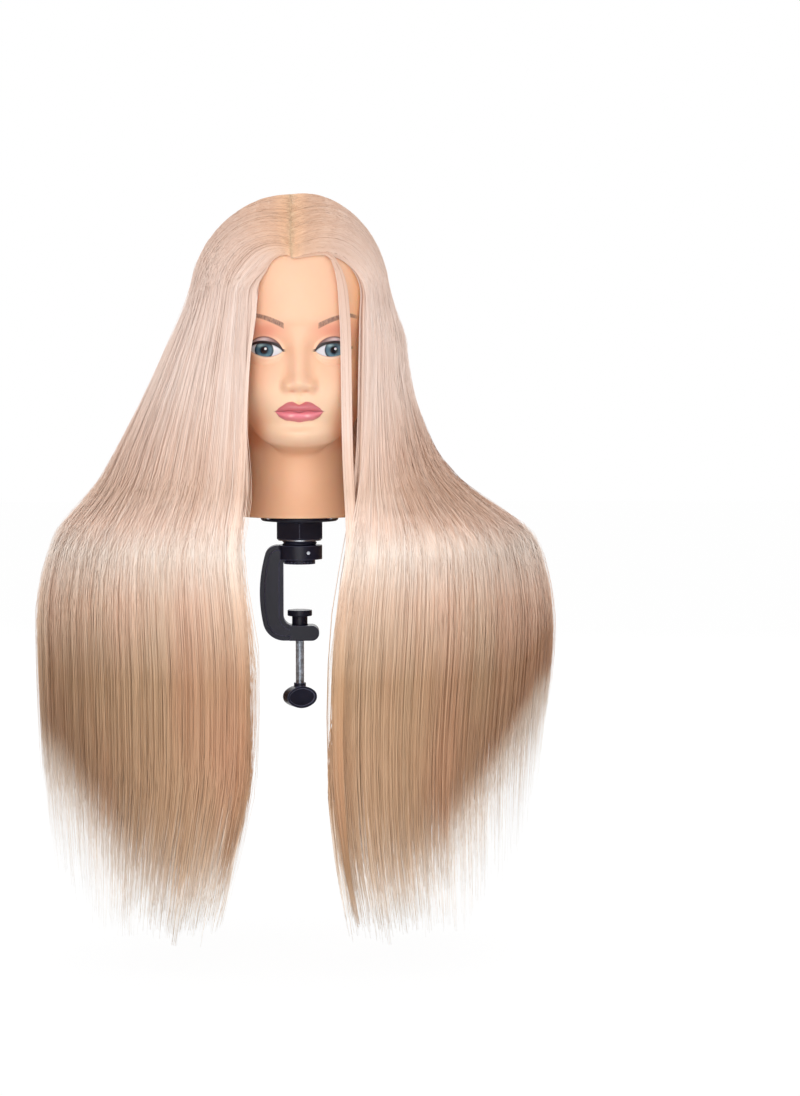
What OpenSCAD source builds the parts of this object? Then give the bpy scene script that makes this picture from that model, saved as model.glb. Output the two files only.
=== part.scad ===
// Hair training head standing on its table clamp.
// Millimetres. The clamp boss rests on a table top at z = 0, on the axis of the post.
// Z runs up the post, the face looks along -Y and the jaw of the clamp opens along +X.

/* [Head] */
// height from the neck base to the top of the skull
head_h = 286; // [276:1:296]
// width of the skull above the ears
head_w = 150; // [144:1:156]
// brow to the post axis
head_front = 98; // [94:1:102]
// back of the skull to the post axis
head_back = 92; // [88:1:96]
// width of the flared neck base
neck_w = 116; // [112:1:122]
// depth of the flared neck base
neck_l = 118; // [114:1:124]
// how far the ears stand out
ear_out = 8; // [5:0.5:9]

/* [Hair] */
// hair depth over the top of the skull
hair_top = 13; // [10:0.5:15]
// hair hanging below the neck base
hair_drop = 381; // [340:1:400]
// half width of the loose lock beside the face
lock_w = 4.5; // [3.5:0.1:5]
// half thickness of the loose lock
lock_t = 2.2; // [1.6:0.1:2.6]

/* [Neck socket] */
// radius of the plug that closes the neck
plug_r = 46; // [45.5:0.1:47]
// thickness of the plug disc
plug_t = 6; // [5:0.5:8]
// wall of the socket tube
tube_wall = 4.5; // [3:0.5:6]
// radius of the foam in the neck
core_r = 34; // [30:1:35]
// radius of the foam in the skull
skull_core_r = 67; // [62:1:68]
// radius of the foam behind the face
face_core_r = 46; // [42:1:47]
// length of a plug screw shank
plug_screw_l = 16; // [12:1:20]
// radius of a plug screw shank
plug_screw_r = 1.7; // [1.4:0.1:2]

/* [Post] */
// radius over the ribs of the peg
peg_r = 11.2; // [10:0.1:12]
// height of the peg above the flange
peg_h = 71; // [60:1:76]
// radius of the plain shank below the ribs
shank_r = 7; // [6:0.1:8]
// number of ribs
rib_n = 8; // [6:1:10]
// rib thickness
rib_t = 3.2; // [2.4:0.1:3.6]
// flange radius
flange_r = 36; // [34:0.5:36.5]
// flange thickness
flange_t = 5; // [4:0.5:7]
// radius of the threaded stem
stem_r = 16; // [15.5:0.1:16.5]
// depth of the stem thread
thread_d = 1.2; // [0.8:0.1:1.8]
// radius of the journal that turns in the frame
journal_r = 8; // [7:0.1:9]

/* [Lock nut] */
// distance across the flats of the lock nut
nut_af = 42; // [40:0.5:44]
// height of the lock nut
nut_h = 17; // [14:0.5:20]
// washer thickness
washer_t = 1.2; // [1:0.1:2]
// free thread below the washer
nut_free = 4.3; // [3:0.1:6]

/* [Clamp frame] */
// opening of the jaw with the pad down
jaw_gap = 43; // [38:1:50]
// boss radius
boss_r = 14.5; // [14:0.1:16]
// boss height
boss_h = 4.5; // [4:0.1:6]
// upper lug radius
lug_r = 21; // [20:0.5:23]
// upper lug height
lug_h = 13; // [12:0.5:15]
// frame width
frame_w = 22; // [20:0.5:26]
// throat depth from the post axis to the spine
throat = 15; // [14.5:0.5:18]
// spine depth
spine_t = 22; // [18:0.5:26]
// lower arm height
arm_h = 14; // [13.5:0.5:17]
// reach of the lower arm past the screw axis
arm_r = 18; // [16:0.5:20]
// step from the frame edges up to the raised middle of its sides
panel_d = 2.2; // [1.5:0.1:3]

/* [Screw and pad] */
// clamp screw radius
screw_r = 4; // [3.8:0.1:4.5]
// free screw below the frame
screw_free = 40; // [30:1:50]
// pad disc radius
pad_r = 11.4; // [10:0.1:13]
// pad disc thickness
pad_t = 5.5; // [4.5:0.1:7]
// pad neck radius
pad_neck_r = 7.2; // [7:0.1:8.5]
// pad neck length
pad_neck = 9; // [8:0.5:12]
// knob width
knob_w = 29.4; // [26:0.2:34]
// knob height
knob_h = 20.4; // [18:0.2:24]
// knob thickness
knob_t = 12; // [11:0.2:14]

/* [Hidden] */
gap = 0.3;
slip = 0.06;
neck_z = boss_h + lug_h + nut_free + washer_t + nut_h + flange_t;
lug_top = boss_h + lug_h;
flange_z = neck_z - flange_t;
washer_z = flange_z - nut_h - washer_t;
pad_z = -jaw_gap;
pad_low = pad_z - pad_t - pad_neck;
arm_top = pad_low + 0.5;
arm_low = arm_top - arm_h;
screw_low = arm_low - screw_free;
mnut_af = 3.25 * screw_r;
mnut_h = 1.6 * screw_r;
mnut_z = arm_top - mnut_h - 1.5;
clip_z = pad_z - pad_t - 1.5;
bore_r = peg_r + 0.25;
tube_r = bore_r + tube_wall;
bore_h = peg_h + 3;
screw_ring = (plug_r + flange_r) / 2 + 0.4;
$fn = 64;

// height shares of the head: dome springing, then the jaw by angle from the face
dome_k = 0.70;
jaw_level = [[0, 0.213], [10, 0.2145], [18, 0.221], [25, 0.233], [31, 0.252], [38, 0.278], [60, 0.305],
    [90, 0.325], [130, 0.308], [180, 0.262]];
jaw_soft = [[0, 0.018], [40, 0.026], [90, 0.05], [180, 0.09]];
head_side = [[0.175, 0.48], [0.21, 0.587], [0.245, 0.667], [0.28, 0.733], [0.332, 0.813], [0.385, 0.88],
    [0.455, 0.933], [0.542, 0.973], [0.63, 1], [0.70, 1]];
face_line = [[0.175, 0.61], [0.203, 0.715], [0.224, 0.837], [0.245, 0.93], [0.27, 0.98], [0.304, 0.96],
    [0.343, 0.985], [0.392, 1], [0.437, 0.99], [0.49, 0.975], [0.542, 0.955], [0.587, 0.97], [0.636, 1],
    [0.70, 1]];
nape_line = [[0.175, 0.5], [0.28, 0.61], [0.35, 0.74], [0.42, 0.86], [0.49, 0.945], [0.577, 1.005],
    [0.647, 1.01], [0.70, 1]];
neck_side = [[0, 1], [0.035, 0.914], [0.077, 0.845], [0.126, 0.81], [0.21, 0.819], [0.315, 0.862]];
neck_fore = [[0, 1], [0.028, 0.915], [0.063, 0.83], [0.105, 0.771], [0.157, 0.763], [0.21, 0.797],
    [0.262, 0.85]];
neck_back = [[0, 1], [0.035, 0.9], [0.077, 0.814], [0.126, 0.771], [0.192, 0.78], [0.28, 0.915]];
// soft swellings of the face: side, height share, spread across, spread up, swell
swells = [[0, 0.421, 7.5, 6.5, 13], [0, 0.458, 6.5, 10, 9], [0, 0.511, 6, 12, 5], [11, 0.410, 5, 5, 6.5],
    [31, 0.535, 15, 9, -6], [31, 0.531, 11, 6.5, 4], [37, 0.427, 16, 16, 4], [0, 0.343, 24, 14, 4.5],
    [0, 0.355, 14, 3.4, 4], [0, 0.323, 13, 3.8, 4.5], [0, 0.340, 20, 1.6, -2.2], [0, 0.294, 16, 4, -3],
    [0, 0.262, 14, 7, 2.5], [26, 0.615, 16, 6, 2]];

// hair stand-off from the skull; levels above 0 are shares of the head, below 0 of the drop
hair_w_left = [[-1, 150], [-0.64, 163], [-0.3, 167], [-0.2, 166], [-0.105, 158], [-0.055, 152],
    [-0.01, 141], [0.056, 118], [0.185, 97], [0.315, 77], [0.444, 59], [0.577, 41.5], [0.70, 24]];
hair_w_right = [[-1, 140], [-0.64, 150], [-0.3, 161], [-0.2, 159], [-0.105, 151], [-0.055, 144],
    [-0.01, 127], [0.056, 91], [0.119, 70], [0.185, 53], [0.315, 37.5], [0.444, 26], [0.577, 22.5],
    [0.70, 8.5]];
hair_f = [[-1, 25], [-0.105, 31], [0, 26], [0.14, 18], [0.28, 11], [0.42, 5], [0.542, 3], [0.63, 5],
    [0.70, 6]];
hair_b = [[-1, 24], [-0.105, 29], [0, 24], [0.17, 20], [0.35, 18], [0.5, 16], [0.70, 12]];
deep_left = [[-1, 9], [0, 16], [0.4, 13], [0.577, 14], [0.63, 20], [0.70, 23]];
deep_right = [[-1, 9], [0, 16], [0.444, 13], [0.577, 12], [0.63, 11], [0.70, 7.5]];
deep_front = [[-1, 9], [-0.105, 12], [0, 10], [0.42, 8], [0.542, 7], [0.63, 6], [0.70, 5]];
deep_back = [[-1, 9], [0, 14], [0.5, 14], [0.70, 11]];
// inner edge of each front curtain, drawn in from the side of the skull
edge_left = [[-1, -3], [-0.94, 0], [-0.89, 5], [-0.79, 12], [-0.70, 20], [-0.60, 26.5], [-0.50, 27.5],
    [-0.40, 28.5], [-0.30, 27.5], [-0.20, 24], [-0.11, 20], [-0.06, 18], [0, 21], [0.1, 25], [0.40, 25.3],
    [0.52, 24.8], [0.62, 25.4], [0.70, 27]];
edge_right = [[-1, 18], [-0.89, 25], [-0.79, 31], [-0.60, 37], [-0.40, 37.5], [-0.20, 32.5], [-0.06, 25],
    [0, 22.5], [0.2, 17], [0.57, 14], [0.70, 14]];
// half width of the parting that opens behind the nape
edge_back = [[-1, 86], [-0.6, 64], [-0.3, 58], [-0.06, 62], [0, 58], [0.1, 42], [0.22, 18], [0.36, 1],
    [0.42, 0.3], [0.70, 0.3]];
// level of the hair ends, from the front edge round to the back
tip_left = [[0, -0.92], [0.05, -1], [0.13, -0.97], [0.2, -0.89], [0.27, -0.79], [0.36, -0.68], [0.5, -0.66],
    [0.7, -0.8], [1, -0.92]];
tip_right = [[0, -0.98], [0.07, -1], [0.135, -0.935], [0.215, -0.79], [0.29, -0.66], [0.38, -0.53],
    [0.5, -0.5], [0.7, -0.72], [1, -0.92]];
// loose lock: drawn in from the side of the skull, and its stand-off from the brow
lock_side = [[-0.97, 25], [-0.89, 31.5], [-0.79, 37.5], [-0.6, 44.5], [-0.4, 44.5], [-0.2, 39.5],
    [-0.06, 31.5], [0, 30.5], [0.2, 32], [0.44, 33], [0.57, 33.5], [0.65, 34.5], [0.74, 37], [0.797, 42],
    [0.845, 51]];
lock_front = [[-1, 24], [-0.5, 28], [-0.1, 26], [0, 19], [0.1, 8], [0.25, -3], [0.35, -8], [0.42, -8.6],
    [0.5, -9.5], [0.57, -9.3], [0.62, -7.6], [0.70, -7], [0.74, -7], [0.797, -8.4], [0.82, -9.4],
    [0.845, -11]];
lock_top = 0.845;
// parting, a little to the left: its place on each side, and the bow of the hair line beside it
part_x = [0.078, -0.066];
bow = [0.016, -0.058];
bow_skew = [1, 0.7];

// smooth curve through a list of points, held level past its ends
function slope(p, i) =
    let (a = max(i - 1, 0), b = min(i + 1, len(p) - 1)) (p[b][1] - p[a][1]) / (p[b][0] - p[a][0]);
function span(p, x, i = 0) = (i < len(p) - 2 && x > p[i + 1][0]) ? span(p, x, i + 1) : i;
function bend(p, x) =
    let (i = span(p, x), w = p[i + 1][0] - p[i][0], t = (x - p[i][0]) / w)
    (2 * t * t * t - 3 * t * t + 1) * p[i][1] + (t * t * t - 2 * t * t + t) * w * slope(p, i)
    + (3 * t * t - 2 * t * t * t) * p[i + 1][1] + (t * t * t - t * t) * w * slope(p, i + 1);
function curve(p, x) = bend(p, min(max(x, p[0][0]), p[len(p) - 1][0]));
function ease(t) = let (s = min(max(t, 0), 1)) s * s * (3 - 2 * s);
function mix(a, b, t) = a + (b - a) * t;
function level(q) = neck_z + q * (q > 0 ? head_h : hair_drop);

// radius of an oval with its own front, back and side reach
function oval(ang, side, fore, back) =
    1 / sqrt(pow(sin(ang) / side, 2) + pow(cos(ang) / (cos(ang) > 0 ? fore : back), 2));
function dome(k) = k > dome_k ? sqrt(max(0, 1 - pow((k - dome_k) / (1 - dome_k), 2))) : 1;
function skull_r(ang, k) =
    oval(ang, curve(head_side, k) * head_w / 2, curve(face_line, k) * head_front,
        curve(nape_line, k) * head_back);
function neck_r(ang, k) =
    oval(ang, curve(neck_side, k) * neck_w / 2, curve(neck_fore, k) * neck_l / 2,
        curve(neck_back, k) * neck_l / 2);
function base_r(ang, k) =
    let (turn = ang > 180 ? 360 - ang : ang, soft = curve(jaw_soft, turn), at = curve(jaw_level, turn))
    k > dome_k ? skull_r(ang, dome_k) * dome(k)
    : mix(neck_r(ang, k), skull_r(ang, k), ease((k - at + soft) / (2 * soft)));
function swell(x, k, i = 0) =
    i == len(swells) ? 0
    : let (s = swells[i], up = (k - s[1]) * head_h / s[3])
    s[4] * exp(-up * up)
    * (exp(-pow((x - s[0]) / s[2], 2)) + (s[0] == 0 ? 0 : exp(-pow((x + s[0]) / s[2], 2))))
    + swell(x, k, i + 1);
function ear(y, k) =
    let (up = (k - 0.505) * head_h / 30, in = (y - 8 - 7 * up) / 15)
    ear_out * exp(-pow(up, 4) - pow(in, 4));
function head_point(ang, k) =
    let (r = base_r(ang, k), x = r * sin(ang), y = -r * cos(ang))
    [x + sign(x) * (abs(sin(ang)) > 0.6 ? ear(y, k) : 0), y - (cos(ang) > 0.2 ? swell(x, k) : 0), level(k)];

head_n = 60;
function head_ang(i) = let (t = 360 * i / head_n) t - 26 * sin(t);
head_k = concat([0, 0.02, 0.045, 0.08, 0.12, 0.16, 0.19], [for (k = [0.207:0.0135:0.63]) k],
    [for (a = [0:6.5:84.5]) dome_k + (1 - dome_k) * sin(a)]);

module head_form() {
    rows = len(head_k);
    points = concat([for (k = head_k, i = [0:head_n - 1]) head_point(head_ang(i), max(k, 0))],
        [[0, 0, level(1)], [0, 0, level(0)]]);
    top = rows * head_n;
    faces = concat(
        [for (j = [0:rows - 2], i = [0:head_n - 1]) let (n = (i + 1) % head_n)
            [j * head_n + i, (j + 1) * head_n + i, (j + 1) * head_n + n]],
        [for (j = [0:rows - 2], i = [0:head_n - 1]) let (n = (i + 1) % head_n)
            [j * head_n + i, (j + 1) * head_n + n, j * head_n + n]],
        [for (i = [0:head_n - 1]) [top - head_n + i, top, top - head_n + (i + 1) % head_n]],
        [for (i = [0:head_n - 1]) [top + 1, i, (i + 1) % head_n]]);
    polyhedron(points, faces);
}

// space for the foam, grown by a gap
module core_space(grow) {
    translate([0, 0, neck_z + plug_t])
        cylinder(r = core_r + grow, h = 0.46 * head_h);
    translate([0, (head_back - head_front) / 3, level(0.685)])
        sphere(r = skull_core_r + grow);
    translate([0, face_core_r + 26 - head_front, level(0.45)])
        sphere(r = face_core_r + grow);
}

module plug_screw_places() {
    for (a = [45:90:315])
        rotate([0, 0, a])
            translate([screw_ring, 0, neck_z])
                children();
}

module head_shell() {
    color([0.98, 0.80, 0.68])
        difference() {
            head_form();
            core_space(gap);
            translate([0, 0, neck_z - 5])
                cylinder(r = plug_r + gap, h = plug_t + gap + 5);
            plug_screw_places()
                cylinder(r = plug_screw_r + gap, h = plug_screw_l + 1);
        }
}

module foam_core() {
    color([0.93, 0.90, 0.80])
        difference() {
            core_space(0);
            translate([0, 0, neck_z])
                cylinder(r = plug_r, h = plug_t + gap);
            translate([0, 0, neck_z])
                cylinder(r = tube_r + gap, h = bore_h + tube_wall + gap);
        }
}

module neck_plug() {
    color([0.30, 0.30, 0.32])
        difference() {
            union() {
                translate([0, 0, neck_z])
                    cylinder(r = plug_r, h = plug_t);
                translate([0, 0, neck_z])
                    cylinder(r = tube_r, h = bore_h + tube_wall);
            }
            translate([0, 0, neck_z - 1])
                cylinder(r = bore_r, h = bore_h + 1);
            plug_screw_places()
                translate([0, 0, -1])
                    cylinder(r = plug_screw_r + 0.1, h = plug_t + 2);
        }
}

module plug_screws() {
    color([0.62, 0.64, 0.67])
        plug_screw_places() {
            translate([0, 0, -2])
                cylinder(r = 2 * plug_screw_r, h = 2);
            cylinder(r = plug_screw_r, h = plug_screw_l, $fn = 24);
        }
}

// one point of the hair: side -1 or 1, place round the head, place along the strand, outer 1 or inner 0
dome_n = 8;
fall_n = 20;
function reach_w(s, q, o) =
    head_w / 2 + (s < 0 ? curve(hair_w_left, q) - (1 - o) * curve(deep_left, q)
    : curve(hair_w_right, q) - (1 - o) * curve(deep_right, q));
function reach_f(q, o) = head_front + curve(hair_f, q) - (1 - o) * curve(deep_front, q);
function reach_b(q, o) = head_back + curve(hair_b, q) - (1 - o) * curve(deep_back, q);
function turn_at(s, u, q) =
    let (w = reach_w(s, q, 1), first = asin((head_w / 2 - curve(s < 0 ? edge_left : edge_right, q)) / w))
    mix(first, 180 - asin(curve(edge_back, q) / w), u);
function fall_point(s, u, q, o) =
    let (a = turn_at(s, u, q))
    [s * reach_w(s, q, o) * sin(a), -cos(a) * (cos(a) > 0 ? reach_f(q, o) : reach_b(q, o)), level(q)];
function crown_point(s, u, t, o) =
    let (a = turn_at(s, u, dome_k), e = sin(90 * t), n = s < 0 ? 0 : 1,
        x = mix(part_x[n], sin(a), e), y = mix(mix(-0.915, 0.5, ease(u)), -cos(a), e)
            + bow[n] * sin(180 * pow(e, bow_skew[n])) * pow(1 - u, 2),
        z = sqrt(max(0, 1 - x * x - y * y)))
    [s * x * reach_w(s, dome_k, o), y * (y < 0 ? reach_f(dome_k, o) : reach_b(dome_k, o)),
        level(dome_k) + z * ((1 - dome_k) * head_h + (o > 0 ? hair_top : 1))];
function fullness(u, t) = mix(0.3, 1, ease(u / 0.16)) * mix(0.3, 1, ease(t / 0.24));
function hair_point(s, u, j, o) =
    j < dome_n
    ? let (t = j / dome_n) mix(crown_point(s, u, t, 0), crown_point(s, u, t, 1),
        o * mix(fullness(u, t), 1, ease((t - 0.5) / 0.5)))
    : let (tip = curve(s < 0 ? tip_left : tip_right, u))
    fall_point(s, u, mix(dome_k, tip, (j - dome_n) / fall_n), o);

module hair_form(s, u0, u1, cells) {
    rows = dome_n + fall_n;
    wide = cells + 1;
    points = [for (o = [1, 0], j = [0:rows], i = [0:cells]) hair_point(s, mix(u0, u1, i / cells), j, o)];
    in = wide * (rows + 1);
    quads = concat(
        [for (j = [0:rows - 1], i = [0:cells - 1]) let (a = j * wide + i)
            [a, a + 1, a + wide + 1, a + wide]],
        [for (j = [0:rows - 1], i = [0:cells - 1]) let (a = in + j * wide + i)
            [a, a + wide, a + wide + 1, a + 1]],
        [for (i = [0:cells - 1]) [i, in + i, in + i + 1, i + 1]],
        [for (i = [0:cells - 1]) let (a = rows * wide + i) [a, a + 1, in + a + 1, in + a]],
        [for (j = [0:rows - 1]) let (a = j * wide) [a, a + wide, in + a + wide, in + a]],
        [for (j = [0:rows - 1]) let (a = j * wide + cells) [a, in + a, in + a + wide, a + wide]]);
    tris = [for (f = quads, h = [[0, 1, 2], [0, 2, 3]])
        s < 0 ? [f[h[0]], f[h[1]], f[h[2]]] : [f[h[2]], f[h[1]], f[h[0]]]];
    polyhedron(points, tris);
}

split_u = 0.40;
seam_u = 0.004;

module hair_left_front() {
    color([0.85, 0.70, 0.60])
        hair_form(-1, 0, split_u - seam_u, 9);
}

module hair_left_back() {
    color([0.80, 0.65, 0.55])
        hair_form(-1, split_u, 1, 11);
}

module hair_right_front() {
    color([0.85, 0.70, 0.60])
        hair_form(1, 0, split_u - seam_u, 9);
}

module hair_right_back() {
    color([0.80, 0.65, 0.55])
        hair_form(1, split_u, 1, 11);
}

// the loose lock is an oval strip drawn along its path
lock_n = 26;
lock_m = 8;
module face_lock() {
    rings = [for (j = [0:lock_n])
        let (q = mix(lock_top, -0.97, j / lock_n), end = j == 0 || j == lock_n ? 0.4 : 1)
        [for (i = [0:lock_m - 1]) let (a = 360 * i / lock_m)
            [head_w / 2 - curve(lock_side, q) + lock_w * end * cos(a),
                lock_t * end * sin(a) - head_front - curve(lock_front, q), level(q)]]];
    points = [for (r = rings) each r];
    faces = concat(
        [for (j = [0:lock_n - 1], i = [0:lock_m - 1]) let (n = (i + 1) % lock_m)
            [j * lock_m + i, j * lock_m + n, (j + 1) * lock_m + n]],
        [for (j = [0:lock_n - 1], i = [0:lock_m - 1]) let (n = (i + 1) % lock_m)
            [j * lock_m + i, (j + 1) * lock_m + n, (j + 1) * lock_m + i]],
        [[for (i = [lock_m - 1:-1:0]) i]],
        [[for (i = [0:lock_m - 1]) lock_n * lock_m + i]]);
    color([0.87, 0.72, 0.62])
        polyhedron(points, faces);
}

// flat outline with two rounded corners on its left
module left_round(x0, x1, z0, z1, r0, r1) {
    rm = max(r0, r1);
    translate([x0 + rm, z0])
        square([x1 - x0 - rm, z1 - z0]);
    translate([x0, z0 + r0])
        square([rm, z1 - z0 - r0 - r1]);
    translate([x0 + r0, z0])
        square([rm - r0 + 0.01, r0]);
    translate([x0 + r1, z1 - r1])
        square([rm - r1 + 0.01, r1]);
    translate([x0 + r0, z0 + r0])
        circle(r = r0);
    translate([x0 + r1, z1 - r1])
        circle(r = r1);
}

// side outline of the C frame, drawn in by one amount outside and another inside: the bowed spine
// runs smoothly into a corner arc at each end
spine_bow = 130;
frame_mid = (arm_low + lug_top) / 2;
bow_x = spine_bow - throat - spine_t;
function corner_x(z, r) = bow_x - sqrt(pow(spine_bow - r, 2) - pow(z - frame_mid, 2));
module c_outline(out, in) {
    top_r = 12;
    low_r = 20;
    top_z = lug_top - top_r;
    low_z = arm_low + low_r;
    top_x = corner_x(top_z, top_r);
    low_x = corner_x(low_z, low_r);
    difference() {
        union() {
            translate([top_x, top_z])
                circle(r = top_r - out);
            translate([low_x, low_z])
                circle(r = low_r - out);
            translate([top_x, frame_mid])
                square([3 - top_x, lug_top - out - frame_mid]);
            translate([low_x, arm_low + out])
                square([3 - low_x, frame_mid - arm_low - out]);
            intersection() {
                translate([bow_x, frame_mid])
                    circle(r = spine_bow - out, $fn = 256);
                polygon([[bow_x, frame_mid], [mix(bow_x, top_x, 1.3), mix(frame_mid, top_z, 1.3)],
                    [mix(bow_x, low_x, 1.3), mix(frame_mid, low_z, 1.3)]]);
                translate([-throat - 2 * spine_t, arm_low])
                    square([throat + 2 * spine_t + 3, lug_top - arm_low]);
            }
        }
        left_round(-throat - in, 12, arm_top - in, boss_h + in, 9 + in, 5 + in);
    }
}

// end of the lower arm, rounded from the side
module arm_end() {
    back = pad_neck_r + 2;
    translate([-back, arm_low])
        square([back + arm_r - arm_h / 2, arm_h]);
    translate([arm_r - arm_h / 2, arm_low + arm_h / 2])
        circle(r = arm_h / 2);
}

module clamp_frame() {
    color([0.10, 0.10, 0.12])
        difference() {
            union() {
                rotate([90, 0, 0])
                    linear_extrude(height = frame_w - 2 * panel_d, center = true)
                        c_outline(0, 0);
                rotate([90, 0, 0])
                    linear_extrude(height = frame_w, center = true)
                        c_outline(4.5, 4);
                rotate([90, 0, 0])
                    linear_extrude(height = frame_w, center = true)
                        arm_end();
                translate([0, 0, boss_h])
                    cylinder(r = lug_r, h = lug_h);
                cylinder(r = boss_r, h = boss_h);
            }
            for (a = [0:15:345])
                rotate([0, 0, a])
                    translate([boss_r + 0.35, 0, -1])
                        cylinder(r = 1, h = 3, $fn = 24);
            translate([0, 0, 3])
                cylinder(r = journal_r + slip, h = lug_top);
            translate([journal_r, 0, boss_h + lug_h / 2])
                rotate([90, 0, 0])
                    cylinder(r = 1.5 + slip, h = 3 * lug_r, center = true, $fn = 24);
            translate([0, 0, arm_low - 1])
                cylinder(r = screw_r + 0.4, h = arm_h + 2);
            translate([0, 0, mnut_z])
                cylinder(r = mnut_af / 2 / cos(30) + 0.12, h = arm_h, $fn = 6);
            translate([0, 0, mnut_z + mnut_h + gap])
                cylinder(r = pad_neck_r + 0.8, h = arm_h);
        }
}

module captive_nut() {
    color([0.66, 0.68, 0.70])
        difference() {
            translate([0, 0, mnut_z])
                cylinder(r = mnut_af / 2 / cos(30), h = mnut_h, $fn = 6);
            translate([0, 0, mnut_z - 1])
                cylinder(r = screw_r + slip, h = mnut_h + 2);
        }
}

module post_pin() {
    color([0.66, 0.68, 0.70])
        translate([journal_r, 0, boss_h + lug_h / 2])
            rotate([90, 0, 0])
                cylinder(r = 1.5, h = 2 * sqrt(lug_r * lug_r - journal_r * journal_r) - 2, center = true,
                    $fn = 24);
}

module post() {
    color([0.13, 0.13, 0.15]) {
        difference() {
            translate([0, 0, 3 + gap])
                cylinder(r = journal_r, h = lug_top);
            translate([0, 0, boss_h + lug_h / 2 - 1.8])
                difference() {
                    cylinder(r = journal_r + 1, h = 3.6);
                    translate([0, 0, -1])
                        cylinder(r = journal_r - 1.8, h = 6);
                }
        }
        translate([0, 0, lug_top])
            cylinder(r = stem_r - thread_d, h = flange_z - lug_top);
        translate([0, 0, washer_z])
            cylinder(r = stem_r, h = flange_z - washer_z);
        rotate_extrude() {
            translate([0, flange_z])
                square([flange_r - flange_t / 2, flange_t]);
            translate([flange_r - flange_t / 2, flange_z + flange_t / 2])
                circle(r = flange_t / 2);
        }
        translate([0, 0, neck_z])
            cylinder(r1 = shank_r + 3.5, r2 = shank_r, h = 3.5);
        translate([0, 0, neck_z])
            cylinder(r = shank_r, h = peg_h);
        intersection() {
            for (i = [0:rib_n - 1])
                rotate([0, 0, 360 * (i + 0.5) / rib_n])
                    translate([0, -rib_t / 2, neck_z + 12])
                        cube([peg_r + 2, rib_t, peg_h - 12]);
            rotate_extrude()
                polygon([[0, neck_z + 13], [shank_r, neck_z + 13], [peg_r, neck_z + 20],
                    [peg_r, neck_z + peg_h - 1.5],
                    [peg_r - 1.5, neck_z + peg_h], [0, neck_z + peg_h]]);
        }
    }
}

module nut_washer() {
    color([0.62, 0.64, 0.67])
        difference() {
            translate([0, 0, washer_z])
                cylinder(r = nut_af / 2 - 1, h = washer_t);
            translate([0, 0, washer_z - 1])
                cylinder(r = stem_r + slip, h = washer_t + 2);
        }
}

module lock_nut() {
    color([0.10, 0.10, 0.13])
        difference() {
            intersection() {
                translate([0, 0, washer_z + washer_t])
                    rotate([0, 0, 30])
                        cylinder(r = nut_af / 2 / cos(30), h = nut_h, $fn = 6);
                translate([0, 0, washer_z + washer_t])
                    cylinder(r1 = nut_af / 2 + 0.4, r2 = nut_af / 2 + 0.4 + 1.8 * nut_h, h = nut_h);
                translate([0, 0, washer_z + washer_t])
                    cylinder(r1 = nut_af / 2 + 0.4 + 1.8 * nut_h, r2 = nut_af / 2 + 0.4, h = nut_h);
            }
            translate([0, 0, washer_z])
                cylinder(r = stem_r + slip, h = nut_h + 9);
        }
}

module swivel_pad() {
    color([0.11, 0.11, 0.13])
        difference() {
            union() {
                translate([0, 0, pad_z - pad_t])
                    cylinder(r = pad_r, h = pad_t);
                translate([0, 0, pad_low])
                    cylinder(r = pad_neck_r, h = pad_neck + 1);
            }
            translate([0, 0, pad_low - 1])
                cylinder(r = screw_r + slip, h = pad_neck + pad_t - 1.5);
            translate([0, 0, clip_z - 0.3])
                cylinder(r = screw_r + 1.6, h = 1.4);
        }
}

module pad_clip() {
    color([0.72, 0.74, 0.76])
        translate([0, 0, clip_z])
            difference() {
                cylinder(r = screw_r + 1.2, h = 0.8);
                translate([0, 0, -1])
                    cylinder(r = screw_r - 0.7, h = 3);
            }
}

module clamp_screw() {
    color([0.66, 0.70, 0.76])
        difference() {
            translate([0, 0, screw_low - knob_h / 2])
                cylinder(r = screw_r, h = pad_z - pad_t + 1.8 - screw_low + knob_h / 2);
            translate([0, 0, clip_z - 0.1])
                difference() {
                    cylinder(r = screw_r + 1, h = 1);
                    translate([0, 0, -1])
                        cylinder(r = screw_r - 0.8, h = 3);
                }
        }
}

// oval outline of the knob: two end arcs and two side arcs that touch them
module knob_outline(draw_in) {
    end_r = 0.37 * knob_h;
    half = knob_w / 2 - end_r;
    side_r = (half * half + knob_h * knob_h / 4 - end_r * end_r) / (knob_h - 2 * end_r);
    lean = side_r - knob_h / 2;
    meet = half * (1 + (end_r - draw_in) / (side_r - end_r));
    for (m = [-1, 1])
        translate([m * half, 0])
            circle(r = end_r - draw_in);
    intersection() {
        translate([0, lean])
            circle(r = side_r - draw_in);
        translate([0, -lean])
            circle(r = side_r - draw_in);
        square([2 * meet, knob_h], center = true);
    }
}

module thumb_knob() {
    dish = knob_t / 2 - screw_r - 0.8;
    color([0.11, 0.12, 0.16])
        difference() {
            union() {
                translate([0, 0, screw_low - 3 - knob_h / 2])
                    rotate([90, 0, 22])
                        linear_extrude(height = knob_t, center = true)
                            knob_outline(0);
                translate([0, 0, screw_low - 8])
                    cylinder(r = screw_r + 1.6, h = 8);
            }
            for (a = [22, 202])
                translate([0, 0, screw_low - 3 - knob_h / 2])
                    rotate([90, 0, a])
                        translate([0, 0, knob_t / 2 - dish])
                            linear_extrude(height = 3)
                                knob_outline(2.2);
            translate([0, 0, screw_low - knob_h / 2 - gap])
                cylinder(r = screw_r + 0.02, h = 2 * knob_h);
        }
}

head_shell();
foam_core();
neck_plug();
plug_screws();
hair_left_front();
hair_left_back();
hair_right_front();
hair_right_back();
face_lock();
clamp_frame();
captive_nut();
post_pin();
post();
nut_washer();
lock_nut();
swivel_pad();
pad_clip();
clamp_screw();
thumb_knob();
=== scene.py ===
import math

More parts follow.
